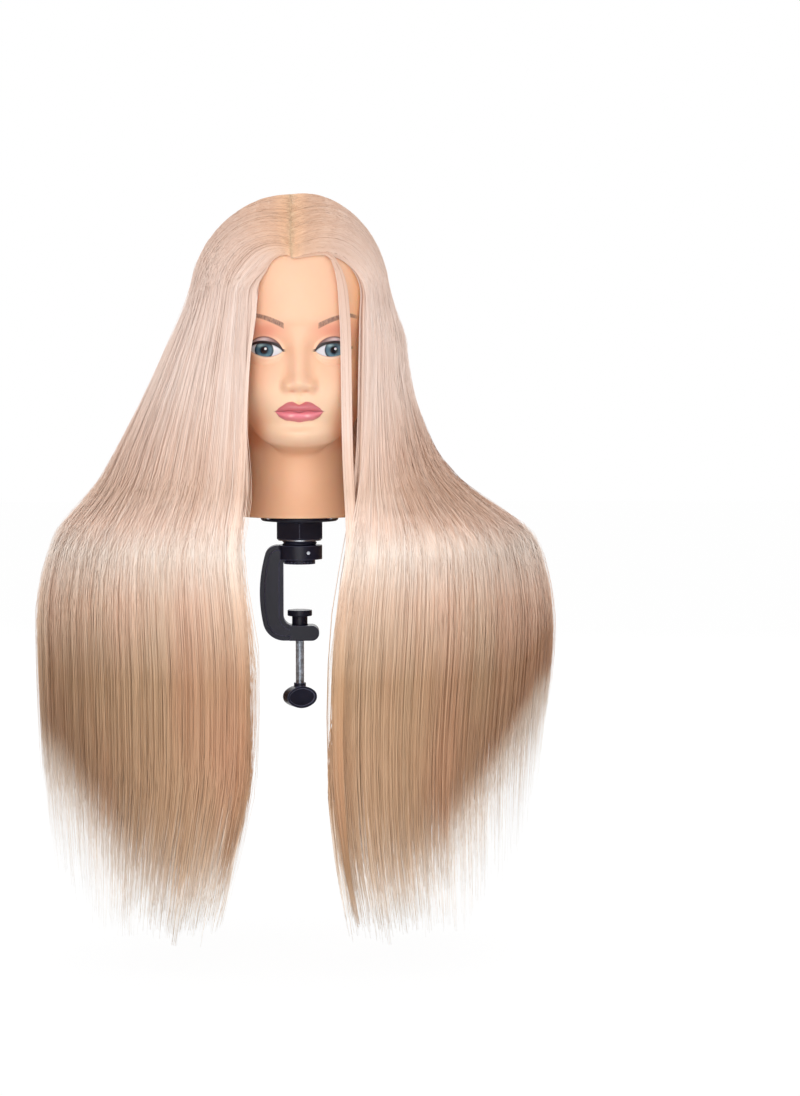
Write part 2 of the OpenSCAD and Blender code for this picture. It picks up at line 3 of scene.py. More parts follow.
import bmesh
import bpy
import numpy as np
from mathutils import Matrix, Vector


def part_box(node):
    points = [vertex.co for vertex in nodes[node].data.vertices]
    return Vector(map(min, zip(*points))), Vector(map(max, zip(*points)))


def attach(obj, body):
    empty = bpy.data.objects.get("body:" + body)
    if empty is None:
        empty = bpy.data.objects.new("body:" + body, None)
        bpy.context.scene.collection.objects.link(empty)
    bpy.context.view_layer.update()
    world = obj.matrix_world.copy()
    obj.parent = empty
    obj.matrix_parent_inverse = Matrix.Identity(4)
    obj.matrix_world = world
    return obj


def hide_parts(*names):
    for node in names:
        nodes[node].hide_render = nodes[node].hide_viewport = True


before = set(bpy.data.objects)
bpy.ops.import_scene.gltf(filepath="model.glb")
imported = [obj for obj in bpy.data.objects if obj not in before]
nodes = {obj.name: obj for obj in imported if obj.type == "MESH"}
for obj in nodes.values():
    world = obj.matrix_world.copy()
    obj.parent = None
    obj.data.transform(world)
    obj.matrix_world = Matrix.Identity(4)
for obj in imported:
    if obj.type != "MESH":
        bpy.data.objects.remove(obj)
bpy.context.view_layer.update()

scene = bpy.context.scene
scene.view_settings.view_transform = "Standard"
rng = np.random.default_rng(41)
mm = 0.001
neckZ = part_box("neck_plug")[0].z / mm  # level of the neck base, millimetres
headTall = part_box("head_shell")[1].z / mm - neckZ
print("frame loaded: neck base at", round(neckZ, 2), "mm, head", round(headTall, 1), "mm tall")


# a dictionary whose values are read by name
class Values(dict):
    __getattr__ = dict.__getitem__


# camera: stands level with the mouth and aims at the middle of the picture
picture = Values(width=800, height=1096, axisX=299.7, neckY=515.0, perPixel=0.93)
stand = Values(away=2400.0, tall=170.0, sensor=36.0)


def placeCamera():
    # lens = picture pixels per radian, turned into the sensor's own length
    aimX = (picture.width / 2 - picture.axisX) * picture.perPixel
    aimZ = neckZ + (picture.neckY - picture.height / 2) * picture.perPixel
    aim = np.array([aimX, stand.away, aimZ - stand.tall])
    far = np.linalg.norm(aim)
    data = bpy.data.cameras.new("viewer")
    data.sensor_width = stand.sensor
    data.lens = far / picture.perPixel * stand.sensor / picture.height
    data.clip_end = 100
    camera = bpy.data.objects.new("viewer", data)
    scene.collection.objects.link(camera)
    camera.location = (0, -stand.away * mm, stand.tall * mm)
    camera.rotation_euler = (math.pi / 2 + math.asin(aim[2] / far), 0, -math.atan2(aim[0], aim[1]))
    scene.camera = camera


placeCamera()


# sizes along a smooth line: cubic through the points with centred slopes, level past the ends
def curve(points, x):
    p = np.asarray(points, float)
    px, py = p[:, 0], p[:, 1]
    low = np.r_[0, np.arange(len(px) - 1)]
    high = np.r_[np.arange(1, len(px)), len(px) - 1]
    slope = (py[high] - py[low]) / (px[high] - px[low])
    x = np.clip(x, px[0], px[-1])
    i = np.clip(np.searchsorted(px, x, side="right") - 1, 0, len(px) - 2)
    w = px[i + 1] - px[i]
    t = (x - px[i]) / w
    return ((2 * t**3 - 3 * t**2 + 1) * py[i] + (t**3 - 2 * t**2 + t) * w * slope[i]
            + (3 * t**2 - 2 * t**3) * py[i + 1] + (t**3 - t**2) * w * slope[i + 1])


# 0 to 1, level at both ends: three squares less two cubes
def ease(t):
    s = np.clip(t, 0, 1)
    return s * s * (3 - 2 * s)


# the share t of the way from a to b
def mix(a, b, t):
    return a + (b - a) * t


# samples placed by density: equal steps of the density's running sum
def spreadSamples(low, high, count, density):
    x = np.linspace(low, high, 4001)
    total = np.concatenate([[0], np.cumsum((density(x[1:]) + density(x[:-1])) / 2)])
    return np.interp(np.linspace(0, total[-1], count), total, x)


# arrows made one long
def unit(v):
    return v / (np.linalg.norm(v, axis=-1, keepdims=True) + 1e-9)


# one random number from 0 to 1 for each strand, as a column
def chance(count):
    return rng.random((count, 1))


# quads of a grid of rows by cols points, closed round its columns if asked
def gridFaces(rows, cols, closed=False, start=0):
    j, i = np.meshgrid(np.arange(rows - 1), np.arange(cols if closed else cols - 1), indexing="ij")
    n = (i + 1) % cols
    quads = np.stack([j * cols + i, j * cols + n, (j + 1) * cols + n, (j + 1) * cols + i], -1)
    return (start + quads).reshape(-1, 4)


# fans that close both ends of a tube of rows by cols points; their two middle points come after the tube's own
def endFans(rows, cols):
    i = np.arange(cols)
    n = (i + 1) % cols
    last = (rows - 1) * cols
    return (np.stack([np.full(cols, rows * cols), n, i], -1),
            np.stack([np.full(cols, rows * cols + 1), last + i, last + n], -1))


# a mesh from points in millimetres; its enclosed volume decides which way the faces point
def putMesh(name, points, *faceSets, attributes=None, ridge=0):
    points = np.asarray(points, float).reshape(-1, 3)
    volume = 0.0
    for f in faceSets:
        p = points[f]
        for k in range(1, f.shape[1] - 1):
            volume += np.einsum("ij,ij->", p[:, 0], np.cross(p[:, k], p[:, k + 1]))
    if volume < 0:
        faceSets = [f[:, ::-1] for f in faceSets]
    loops = np.concatenate([f.ravel() for f in faceSets]).astype(np.int32)
    sizes = np.concatenate([np.full(len(f), f.shape[1]) for f in faceSets])
    starts = np.r_[0, np.cumsum(sizes)[:-1]].astype(np.int32)
    mesh = bpy.data.meshes.new(name)
    mesh.vertices.add(len(points))
    mesh.vertices.foreach_set("co", (points * mm).astype(np.float32).ravel())
    mesh.loops.add(len(loops))
    mesh.loops.foreach_set("vertex_index", loops)
    mesh.polygons.add(len(sizes))
    mesh.polygons.foreach_set("loop_start", starts)
    mesh.polygons.foreach_set("use_smooth", np.ones(len(sizes), bool))
    for key, values in (attributes or {}).items():
        mesh.attributes.new(key, "FLOAT", "POINT").data.foreach_set("value", values.astype(np.float32).ravel())
    mesh.update(calc_edges=True)
    if ridge:  # edges that join points this many apart stay crisp
        pairs = np.empty(len(mesh.edges) * 2, np.int32)
        mesh.edges.foreach_get("vertices", pairs)
        crisp = np.abs(pairs[::2] - pairs[1::2]) == ridge
        mesh.attributes.new("sharp_edge", "BOOLEAN", "EDGE").data.foreach_set("value", crisp)
    piece = bpy.data.objects.new(name, mesh)
    scene.collection.objects.link(piece)
    return piece


# this material and no other
def dress(piece, material):
    piece.data.materials.clear()
    piece.data.materials.append(material)


# a finished piece: its one material, the body it rides on and the nodes it stands for; the slot is not used
def settle(piece, body, slot, material, *replaced):
    dress(piece, material)
    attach(piece, body)
    if replaced:
        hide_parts(*replaced)
    return piece


# colour as written on a screen, 0 to 255, turned to linear light
def tone(r, g, b):
    c = np.array([r, g, b]) / 255
    c = np.where(c <= 0.04045, c / 12.92, ((c + 0.055) / 1.055) ** 2.4)
    return (*[float(v) for v in c], 1.0)


# a dictionary of screen colours, all turned to linear light
def palette(tones):
    return Values((key, tone(*v)) for key, v in tones.items())


# a number on a surface; operators add Math nodes
class Shade:
    def __init__(self, look, socket):
        self.look, self.socket = look, socket

    # an operator, and its reflection for a plain number on the left
    def both(operation):
        return (lambda self, o: self.look.sum(operation, self, o),
                lambda self, o: self.look.sum(operation, o, self))

    __add__, __radd__ = both("ADD")
    __sub__, __rsub__ = both("SUBTRACT")
    __mul__, __rmul__ = both("MULTIPLY")
    __truediv__, __rtruediv__ = both("DIVIDE")
    __pow__, __rpow__ = both("POWER")

    def __abs__(self): return self.look.sum("ABSOLUTE", self)


# one material, or the world, and its nodes
class Look:
    def __init__(self, name, world=None):
        self.material = world or bpy.data.materials.new(name)
        self.material.use_nodes = True
        self.tree = self.material.node_tree
        self.shader = self.tree.nodes["Background" if world else "Principled BSDF"]

    def add(self, kind, settings=None, values=None):
        node = self.tree.nodes.new("ShaderNode" + kind)
        for key, value in (settings or {}).items():
            if key == "stops":
                while len(node.color_ramp.elements) < len(value):
                    node.color_ramp.elements.new(0.5)
                for stop, (at, colour) in zip(node.color_ramp.elements, value):
                    stop.position, stop.color = at, colour
            elif key == "blend":
                node.color_ramp.interpolation = value
            else:
                setattr(node, key, value)
        for key, value in (values or {}).items():
            self.feed(node.inputs[key], value)
        return node

    def feed(self, socket, value):
        if isinstance(value, Shade):
            self.tree.links.new(value.socket, socket)
        elif isinstance(value, bpy.types.NodeSocket):
            self.tree.links.new(value, socket)
        else:
            socket.default_value = value

    def sum(self, operation, *parts):
        return Shade(self, self.add("Math", {"operation": operation}, dict(enumerate(parts))).outputs[0])

    def most(self, a, b): return self.sum("MAXIMUM", a, b)
    def root(self, a): return self.sum("SQRT", a)

    # 0 below low, 1 above high, smooth between
    def step(self, low, high, value):
        node = self.add("MapRange", {"interpolation_type": "SMOOTHSTEP"},
                        {"Value": value, "From Min": low, "From Max": high})
        return Shade(self, node.outputs["Result"])

    # bell of height 1: exp of minus the square
    def bell(self, value):
        return self.sum("POWER", math.exp(-1), value * value)

    def place(self):
        at = self.add("TexCoord").outputs["Object"]
        split = self.add("SeparateXYZ", None, {0: at})
        return [Shade(self, s) / mm for s in split.outputs]

    def noise(self, scale, detail=3.0, stretch=None):
        at = self.add("TexCoord").outputs["Object"]
        if stretch:
            at = self.add("Mapping", None, {"Vector": at, "Scale": stretch}).outputs[0]
        return Shade(self, self.add("TexNoise", None, {"Vector": at, "Scale": scale, "Detail": detail}).outputs[0])

    # 1 for the rays that show the background itself: from the camera, off gloss and through glass
    def seen(self):
        rays = self.add("LightPath").outputs
        camera, gloss, glass = [Shade(self, rays["Is %s Ray" % kind]) for kind in ("Camera", "Glossy", "Transmission")]
        return self.most(self.most(camera, gloss), glass)

    def attribute(self, name):
        return Shade(self, self.add("Attribute", {"attribute_name": name}).outputs["Fac"])

    def ramp(self, value, stops, blend="LINEAR"):
        return self.add("ValToRGB", {"stops": stops, "blend": blend}, {"Fac": value}).outputs["Color"]

    # grey ramp read back as a number
    def profile(self, value, pairs, blend="LINEAR"):
        return Shade(self, self.ramp(value, [(x, (y, y, y, 1)) for x, y in pairs], blend))

    def blend(self, under, over, share, kind="MIX"):
        node = self.add("Mix", {"data_type": "RGBA", "blend_type": kind}, {"Factor": share, 6: under, 7: over})
        return node.outputs[2]

    # coats laid over one another, each a colour and its share
    def coats(self, under, *layers):
        for over, share in layers:
            under = self.blend(under, over, share)
        return under

    # how far the surface turns within the radius of a point: the edges that take a painted highlight and wear
    def edges(self, radius, low, high):
        soft = self.add("Bevel", {"samples": 8}, {"Radius": radius}).outputs[0]
        own = self.add("NewGeometry").outputs["Normal"]
        same = self.add("VectorMath", {"operation": "DOT_PRODUCT"}, {0: soft, 1: own}).outputs["Value"]
        return soft, self.step(low, high, 1 - Shade(self, same))

    def bump(self, height, strength, distance, over=None):
        node = self.add("Bump", None, {"Height": height, "Strength": strength, "Distance": distance})
        if over:
            self.feed(node.inputs["Normal"], over)
        self.feed(self.shader.inputs["Normal"], node.outputs[0])

    def finish(self, **sockets):
        for key, value in sockets.items():
            self.feed(self.shader.inputs[key.replace("_", " ")], value)
        return self.material


# head: height shares of the skull, face and neck, then the soft forms of the face in millimetres
headShape = Values(
    wide=150.0, fore=98.0, back=92.0, neckWide=116.0, neckDeep=118.0, dome=0.7,
    jaw=[(0, 0.213), (10, 0.2145), (18, 0.221), (25, 0.233), (31, 0.252), (38, 0.278), (60, 0.305), (90, 0.325),
         (130, 0.308), (180, 0.262)],
    jawSoft=[(0, 0.018), (40, 0.026), (90, 0.05), (180, 0.09)],
    side=[(0.175, 0.48), (0.21, 0.587), (0.245, 0.667), (0.28, 0.733), (0.332, 0.813), (0.385, 0.88),
          (0.455, 0.933), (0.542, 0.973), (0.63, 1), (0.7, 1)],
    face=[(0.175, 0.61), (0.203, 0.715), (0.224, 0.837), (0.245, 0.93), (0.27, 0.98), (0.304, 0.96),
          (0.343, 0.985), (0.392, 1), (0.437, 0.99), (0.49, 0.975), (0.542, 0.955), (0.587, 0.97), (0.636, 1),
          (0.7, 1)],
    nape=[(0.175, 0.5), (0.28, 0.61), (0.35, 0.74), (0.42, 0.86), (0.49, 0.945), (0.577, 1.005), (0.647, 1.01),
          (0.7, 1)],
    neckSide=[(0, 1), (0.035, 0.914), (0.077, 0.845), (0.126, 0.81), (0.21, 0.819), (0.315, 0.862)],
    neckFore=[(0, 1), (0.028, 0.915), (0.063, 0.83), (0.105, 0.771), (0.157, 0.763), (0.21, 0.797), (0.262, 0.85)],
    neckBack=[(0, 1), (0.035, 0.9), (0.077, 0.814), (0.126, 0.771), (0.192, 0.78), (0.28, 0.915)],
    around=250, rows=230, faceDense=5.0, faceSpan=0.62, bandDense=2.6, band=(0.2, 0.66), crownDense=2.5,
    crownFrom=0.97, fade=0.03)

faceForm = Values(
    eyeX=30.1, eyeHalf=15.5, eyeLow=150.7, eyeTilt=2.6, lidUp=6.3, lidDown=6.0, irisX=31.2, irisH=151.8,
    ball=(18.5, 13.5, 5.4), lidEdge=1.1, fold=11.6, foldDeep=0.9, mouth=97.3, mouthHalf=21.8, lipRise=(3.2, 4.2),
    lipPart=1.4, groove=0.9, grooveLow=104.5, grooveHigh=115,
    lipUp=[(0, 7.0), (0.12, 7.5), (0.31, 8.3), (0.6, 6.4), (0.85, 2.8), (1, 0)],
    lipDown=[(0, 8.8), (0.15, 8.9), (0.36, 8.8), (0.6, 7.7), (0.85, 4.2), (1, 0)],
    noseRise=[(111.5, 0), (114.5, 3.5), (117, 10), (119.5, 15), (122.5, 17.5), (126.5, 16), (132.5, 12.4),
              (140, 9.4), (149, 6.4), (157, 4.0), (165, 1.8), (173, 0)],
    noseHalf=[(112, 8.5), (118, 10), (123, 9.8), (131, 8.8), (144, 7.8), (159, 8.5), (174, 11)],
    # soft forms: place across and up, their half sizes, and how far they stand out
    swells=[(11.2, 119.6, 4.2, 4.8, 7.0), (16.6, 120, 2.4, 5.5, -0.8), (6.2, 115, 2.8, 1.7, -2.2),
            (31, 153.5, 17, 11, -6.5), (15, 154, 7, 8, -2.6), (37, 122, 17, 17, 3.6), (0, 98, 24, 14, 4.2),
            (0, 84, 15, 3.8, -1.7), (0, 75, 13, 7.5, 2.6), (26, 176.5, 16, 6, 2.0)])


# radius of an oval with its own side, front and back reach
def oval(angle, side, fore, back):
    deep = np.where(np.cos(angle) > 0, fore, back)
    return 1 / np.sqrt((np.sin(angle) / side) ** 2 + (np.cos(angle) / deep) ** 2)


# skull above the jaw, neck below it, eased together across the jaw line
def headRadius(angle, k):
    s = headShape
    turn = np.degrees(np.minimum(angle, 2 * np.pi - angle))
    low = np.minimum(k, s.dome)
    skull = oval(angle, curve(s.side, low) * s.wide / 2, curve(s.face, low) * s.fore,
                 curve(s.nape, low) * s.back)
    neck = oval(angle, curve(s.neckSide, low) * s.neckWide / 2, curve(s.neckFore, low) * s.neckDeep / 2,
                curve(s.neckBack, low) * s.neckDeep / 2)
    soft = curve(s.jawSoft, turn)
    both = mix(neck, skull, ease((low - curve(s.jaw, turn) + soft) / (2 * soft)))
    rise = np.clip((k - s.dome) / (1 - s.dome), 0, 1)
    return both * np.sqrt(1 - rise**2)


# relief of the face: bells for the soft forms, an arc for each lid and lip
def faceRelief(x, h):
    f = faceForm
    ax = np.abs(x)
    out = curve(f.noseRise, h) * np.exp(-((ax / curve(f.noseHalf, h)) ** 2.5))
    for cx, ch, sx, sh, up in f.swells:
        bell = np.exp(-(((ax - cx) / sx) ** 2) - ((h - ch) / sh) ** 2)
        out = out + up * bell
    ex = (ax - f.eyeX) / f.eyeHalf
    openness = np.clip(1 - ex**2, 0, 1)
    base = f.eyeLow + (ex + 1) / 2 * f.eyeTilt
    upLid, lowLid = base + f.lidUp * openness**0.75, base - f.lidDown * openness**0.9
    ballWide, ballTall, ballOut = f.ball
    ball = np.clip(1 - ((ax - f.irisX) / ballWide) ** 2 - ((h - f.irisH) / ballTall) ** 2, 0, 1)
    out = out + ballOut * ball**0.8
    within = ease((upLid - h) / 0.9 + 0.5) * ease((h - lowLid) / 0.9 + 0.5) * ease(openness / 0.12)
    out = out - f.lidEdge * within
    out = out - f.foldDeep * np.exp(-((h - base - f.fold * openness**0.6) ** 2)) * ease(openness / 0.4)
    lx = np.clip(ax / f.mouthHalf, 0, 1)
    up = np.clip((h - f.mouth) / np.maximum(curve(f.lipUp, lx), 0.3), 0, 1)
    down = np.clip((f.mouth - h) / np.maximum(curve(f.lipDown, lx), 0.3), 0, 1)
    full = (1 - lx**3) * (ax < f.mouthHalf)
    out = out + full * (f.lipRise[0] * np.sin(np.pi * up) ** 0.9 * (h > f.mouth)
                        + f.lipRise[1] * np.sin(np.pi * down) ** 0.9 * (h <= f.mouth))
    out = out - f.lipPart * np.exp(-(((h - f.mouth) / 0.9) ** 2)) * full
    underNose = ease((h - f.grooveLow) / 3) * ease((f.grooveHigh - h) / 3)
    return out - f.groove * np.exp(-((x / 2.3) ** 2)) * underNose


earForm = Values(level=0.505, tall=30, wide=15, back=8, lean=7, out=8.0, hollow=5.5)


# ear: a leaning leaf that stands out of the side, hollowed inside its rim
def earRelief(y, h):
    e = earForm
    up = (h - e.level * headTall) / e.tall
    across = (y - e.back - e.lean * up) / e.wide
    r = (up**4 + across**4) ** 0.25
    hollow = e.hollow * np.exp(-(((up - 0.1) / 0.55) ** 2) - ((across + 0.1) / 0.5) ** 2)
    return e.out * np.exp(-r**4) - hollow * (r < 1.2)


# a point of the skin: the plain radius, the ears pushed sideways and the face pushed forwards
def headPoint(angle, k):
    h = k * headTall
    r = headRadius(angle, k)
    x, y = r * np.sin(angle), -r * np.cos(angle)
    ear = np.where(np.abs(np.sin(angle)) > 0.6, earRelief(y, h), 0)
    relief = np.where(np.cos(angle) > 0.2, faceRelief(x, h) * ease((np.cos(angle) - 0.2) / 0.15), 0)
    return np.stack([x + np.sign(x) * ear, y - relief, neckZ + h + 0 * x], -1)


# the grid lies closer over the face, and closer again at the crown
def makeHead():
    s = headShape
    n, (low, high), fade = s.around, s.band, s.fade
    angle = spreadSamples(-np.pi, np.pi, n + 1, lambda a: 1 + s.faceDense * np.exp(-((a / s.faceSpan) ** 4)))
    angle = angle[:-1] % (2 * np.pi)
    k = spreadSamples(0, 1, s.rows, lambda v: 1 + s.bandDense * ease((v - low) / fade) * ease((high - v) / fade)
                      + s.crownDense * ease((v - s.crownFrom) / fade))[:-1]
    points = headPoint(angle[None, :], k[:, None])
    base, top = points[0].mean(0), np.array([0, 0, neckZ + headTall])
    points = np.concatenate([points.reshape(-1, 3), [base + [0, 0, 0.02], top]])
    return putMesh("headSkin", points, gridFaces(len(k), n, True), *endFans(len(k), n))


skinTones = Values(
    skin=(247, 197, 164), pale=(250, 210, 178), neck=(255, 200, 161), flank=(255, 182, 128), jaw=(248, 160, 112),
    blush=(248, 172, 142), shadow=(240, 160, 134), lid=(178, 148, 146), lidPale=(224, 206, 208), crease=(104, 62, 56),
    liner=(42, 27, 28), brow=(132, 102, 90), white=(226, 222, 226), irisDark=(26, 42, 52), irisMid=(68, 104, 122),
    irisPale=(108, 150, 164), irisLight=(176, 208, 214), pupil=(12, 18, 28), rim=(255, 226, 206),
    lipUp=(200, 98, 112), lipDown=(234, 126, 142), lipLow=(202, 101, 118), lipLine=(150, 54, 60),
    nostril=(204, 128, 98), warm=(255, 200, 164), glint=(255, 252, 250), gloss=(255, 206, 206))
# soft dabs of paint: place across and up, and their half sizes
dabs = Values(cheek=(41, 121, 15, 14), noseFlank=(12.5, 127, 5, 15), shadow=(31, 169.5, 18, 8.5),
              nostril=(6.2, 115.2, 3.0, 1.4), gloss=(7.3, 93.4, 2.3, 1.1))
browForm = Values(shift=1.8, peakX=43, peak=182.8, fall=0.0665, first=14, last=53, half=2.6, taper=0.028)


# skin: plain vinyl all round, and the painted face on its front
def skinLook():
    c = palette(skinTones)
    f = faceForm
    k = Look("vinylSkin")
    step, bell = k.step, k.bell
    x, y, z = k.place()
    h, ax = z - neckZ, abs(x)

    def dab(name):
        atX, atH, wide, tall = dabs[name]
        return bell((ax - atX) / wide) * bell((h - atH) / tall)

    # plain vinyl with painted light and shade: warm painted shade to the sides and under the jaw, a brighter, warmer
    # neck painted against the shade there, painted light over the mouth and chin, and a faint mottle of blush
    plain = k.coats(
        c.skin,
        (c.flank, step(30, 60, ax) * step(-100, -68, y) * 0.8),
        (c.pale, step(134, 108, h) * step(62, 74, h) * step(58, 40, ax)),
        (c.neck, step(72, 56, h) * 0.9),
        (c.jaw, step(22, 42, ax) * step(114, 74, h) * step(56, 70, h) * 0.85),
        (c.blush, step(0.45, 0.75, k.noise(55.0, 4.0)) * 0.08))
    # lids: the eye narrows to its corners, and the upper lid ends in a fold
    ex = (ax - f.eyeX) / f.eyeHalf
    gap = k.most(1 - ex * ex, 0)
    base = (ex + 1) * (f.eyeTilt / 2) + f.eyeLow
    upLid, lowLid = base + (gap ** 0.75) * f.lidUp, base - (gap ** 0.9) * f.lidDown
    fold = base + (gap ** 0.6) * f.fold
    lid = k.coats(
        c.lid,
        # a painted highlight in the middle of the upper lid
        (c.lidPale, bell((ax - 33) / 7) * bell((h - upLid - 3.2) / 1.6) * 0.8),
        (c.crease, step(0.15, -0.75, ex) * 0.9))
    # eye: white, iris with its painted sheen and the lid's painted shade across its top, pupil, the lid's painted
    # shade on the white and a painted glint
    dx, dh = ax - f.irisX, h - f.irisH
    r = k.root(dx * dx + dh * dh)
    sheen = bell((x + f.irisX + 3.0) / 3.0) + bell((x - f.irisX + 3.0) / 3.0)
    iris = k.coats(
        c.irisPale,
        (c.irisMid, step(-5.0, 2.5, dh + r * 0.3 + k.noise(750.0, 2.0) * 3)),
        (c.irisDark, step(5.8, 8.3, r) * 0.95),
        (c.irisDark, step(1.5, 6.0, dh) * 0.6),
        (c.irisLight, sheen * bell((dh - 4.2) / 1.6) * 0.7))
    gx, gh = abs(abs(x - 1.2) - f.irisX), dh - 1.2
    ball = k.coats(
        c.white,
        (iris, step(8.8, 8.2, r)),
        (c.pupil, step(5.0, 2.4, r)),
        (c.liner, step(2.2, 0.0, upLid - h) * 0.5),
        (c.glint, step(1.35, 0.8, k.root(gx * gx + gh * gh))))
    inside = step(-0.3, 0.3, upLid - h) * step(-0.3, 0.3, h - lowLid) * step(0.0, 0.06, gap)
    wing = step(-1.22, -1.0, ex) * step(1.22, 1.0, ex)
    linerTop = step(-0.6, 0.4, ex) * 0.4 + bell((ex + 0.75) / 0.35) * 1.3 + 1.4
    # brow: an arch that thins outwards, broken into short strokes
    b = browForm
    bx = abs(x - b.shift)
    browMid = b.peak - (abs(bx - b.peakX) ** 1.5) * b.fall
    browHalf = b.half - (bx - b.first) * b.taper
    brow = (step(0.6, -0.7, abs(h - browMid) - browHalf) * step(b.first + 0.5, b.first + 2.5, bx)
            * step(b.last, b.last - 7, bx))
    stroke = k.noise(900.0, 2.0, (1.0, 1.0, 0.35))
    # lips: two outlines over half the mouth
    lx = ax / f.mouthHalf
    upLip, downLip = [k.profile(lx, [(u, v / 10) for u, v in f[key]], "CARDINAL") * 10 for key in ("lipUp", "lipDown")]
    over = h - f.mouth + bell(x / 3.6) * 0.8 - bell((ax - 8.5) / 4.5) * 0.45
    within = step(1.02, 0.94, lx)
    upper = step(-0.4, 0.4, over) * step(-0.5, 0.5, upLip - over) * within
    lower = step(0.4, -0.4, over) * step(-0.5, 0.5, downLip + over) * within
    lowTone = k.coats(
        c.lipDown,
        (c.lipLow, step(0.45, 1.0, over / downLip * -1.0)),
        # painted highlights on the lower lip
        (c.gloss, dab("gloss") * 0.65))
    paint = k.coats(
        plain,
        (c.blush, dab("cheek") * 0.15),
        # painted warm tone that stands in for the shade on the sides of the nose
        (c.warm, dab("noseFlank") * 0.75),
        (c.shadow, dab("shadow") * 0.9),
        (lid, step(-0.4, 0.6, h - upLid) * step(0.5, -0.4, h - fold) * step(0.0, 0.12, gap)),
        (c.crease, bell((h - fold) / 0.6) * step(0.0, 0.25, gap) * 0.8),
        (c.rim, bell((h - lowLid + 1.2) / 1.0) * step(0.02, 0.3, gap) * 0.5),
        (c.crease, bell((h - lowLid + 0.2) / 0.4) * step(0.02, 0.3, gap) * 0.35),
        (ball, inside),
        (c.liner, step(-0.7, -0.1, h - upLid) * step(0.5, -0.3, h - upLid - linerTop) * wing),
        (c.brow, brow * (step(0.3, 0.7, stroke) * 0.35 + 0.6)),
        (c.lipUp, upper * 0.92),
        (lowTone, lower * 0.95),
        (c.lipLine, bell(over / 0.55) * step(1.1, 0.9, lx) * 0.8),
        # painted shade in the nostrils
        (c.nostril, dab("nostril") * 0.45))
    front = step(-30, -48, y)
    lips = k.most(upper, lower)
    wet = inside * front
    rough = 0.46 - lips * front * 0.14 - wet * 0.34
    k.bump(k.noise(1400.0, 2.0), 0.12, 0.0004)
    return k.finish(Base_Color=k.blend(plain, paint, front), Roughness=rough,
                    Coat_Weight=wet * 0.5 + lips * front * 0.35, Coat_Roughness=0.12, Subsurface_Weight=0.3,
                    Subsurface_Radius=(1.0, 0.35, 0.18), Subsurface_Scale=0.008)


head = settle(makeHead(), "head", "vinyl_skin", skinLook(), "head_shell")
print("head skin made:", len(head.data.polygons), "faces")


# hair: stand-off from the skull by level; above 0 a share of the head, below 0 of the drop
hairShape = Values(
    drop=381.0, top=11.2, part=(0.0715, -0.0956), partEnds=(-0.915, 0.5), bow=(0.016, -0.058), bowSkew=(1, 0.7),
    edgeThin=0.06, rootDip=0.88, crownShare=8 / 28, colourEnd=-0.84, levelFrom=0.34, levelTo=0.84, levelFade=0.1,
    wideLeft=[(-1, 150), (-0.64, 163), (-0.3, 167), (-0.2, 166), (-0.105, 158), (-0.055, 152), (-0.01, 141),
              (0.056, 118), (0.185, 97), (0.315, 77), (0.444, 59), (0.577, 41.5), (0.7, 24)],
    wideRight=[(-1, 140), (-0.64, 150), (-0.3, 161), (-0.2, 159), (-0.105, 151), (-0.055, 144), (-0.01, 127),
               (0.056, 91), (0.119, 70), (0.185, 53), (0.315, 37.5), (0.444, 26), (0.577, 22.5), (0.7, 8.5)],
    fore=[(-1, 25), (-0.105, 31), (0, 26), (0.14, 18), (0.28, 11), (0.42, 5), (0.542, 3), (0.63, 5), (0.7, 6)],
    back=[(-1, 24), (-0.105, 29), (0, 24), (0.17, 20), (0.35, 18), (0.5, 16), (0.7, 12)],
    deepLeft=[(-1, 9), (0, 16), (0.4, 13), (0.577, 14), (0.63, 20), (0.7, 23)],
    deepRight=[(-1, 9), (0, 16), (0.444, 13), (0.577, 12), (0.63, 11), (0.7, 7.5)],
    deepFore=[(-1, 9), (-0.105, 12), (0, 10), (0.42, 8), (0.542, 7), (0.63, 6), (0.7, 5)],
    deepBack=[(-1, 9), (0, 14), (0.5, 14), (0.7, 11)],
    edgeLeft=[(-1, -3), (-0.94, 0), (-0.89, 5), (-0.79, 12), (-0.7, 20), (-0.6, 26.5), (-0.5, 27.5), (-0.4, 28.5),
              (-0.3, 27.5), (-0.2, 24), (-0.11, 20), (-0.06, 18), (0, 21), (0.1, 25), (0.4, 27), (0.52, 27.5),
              (0.62, 28.5), (0.7, 28.5)],
    edgeRight=[(-1, 18), (-0.89, 25), (-0.79, 31), (-0.6, 37), (-0.4, 37.5), (-0.2, 32.5), (-0.06, 25), (0, 22.5),
               (0.2, 17), (0.57, 14), (0.7, 14)],
    edgeBack=[(-1, 86), (-0.6, 64), (-0.3, 58), (-0.06, 62), (0, 58), (0.1, 42), (0.22, 18), (0.36, 1), (0.42, 0.3),
              (0.7, 0.3)],
    tipLeft=[(0, -0.92), (0.05, -1), (0.13, -0.97), (0.2, -0.89), (0.27, -0.79), (0.36, -0.68), (0.5, -0.66),
             (0.7, -0.8), (1, -0.92)],
    tipRight=[(0, -0.98), (0.07, -1), (0.135, -0.935), (0.215, -0.79), (0.29, -0.66), (0.38, -0.53), (0.5, -0.5),
              (0.7, -0.72), (1, -0.92)])


# height of a level: shares of the head above the neck base, shares of the drop below it
def level(q):
    return neckZ + q * np.where(q > 0, headTall, hairShape.drop)


# a line of the hair's form that differs between the two sides
def sided(key, side):
    return hairShape[key + ("Left" if side < 0 else "Right")]


# half width, front and back reach of the hair at a level
def hairReach(side, q, o):
    s = hairShape
    lines = ((headShape.wide / 2, sided("wide", side), sided("deep", side)), (headShape.fore, s.fore, s.deepFore),
             (headShape.back, s.back, s.deepBack))
    return [head + curve(out, q) - (1 - o) * curve(deep, q) for head, out, deep in lines]


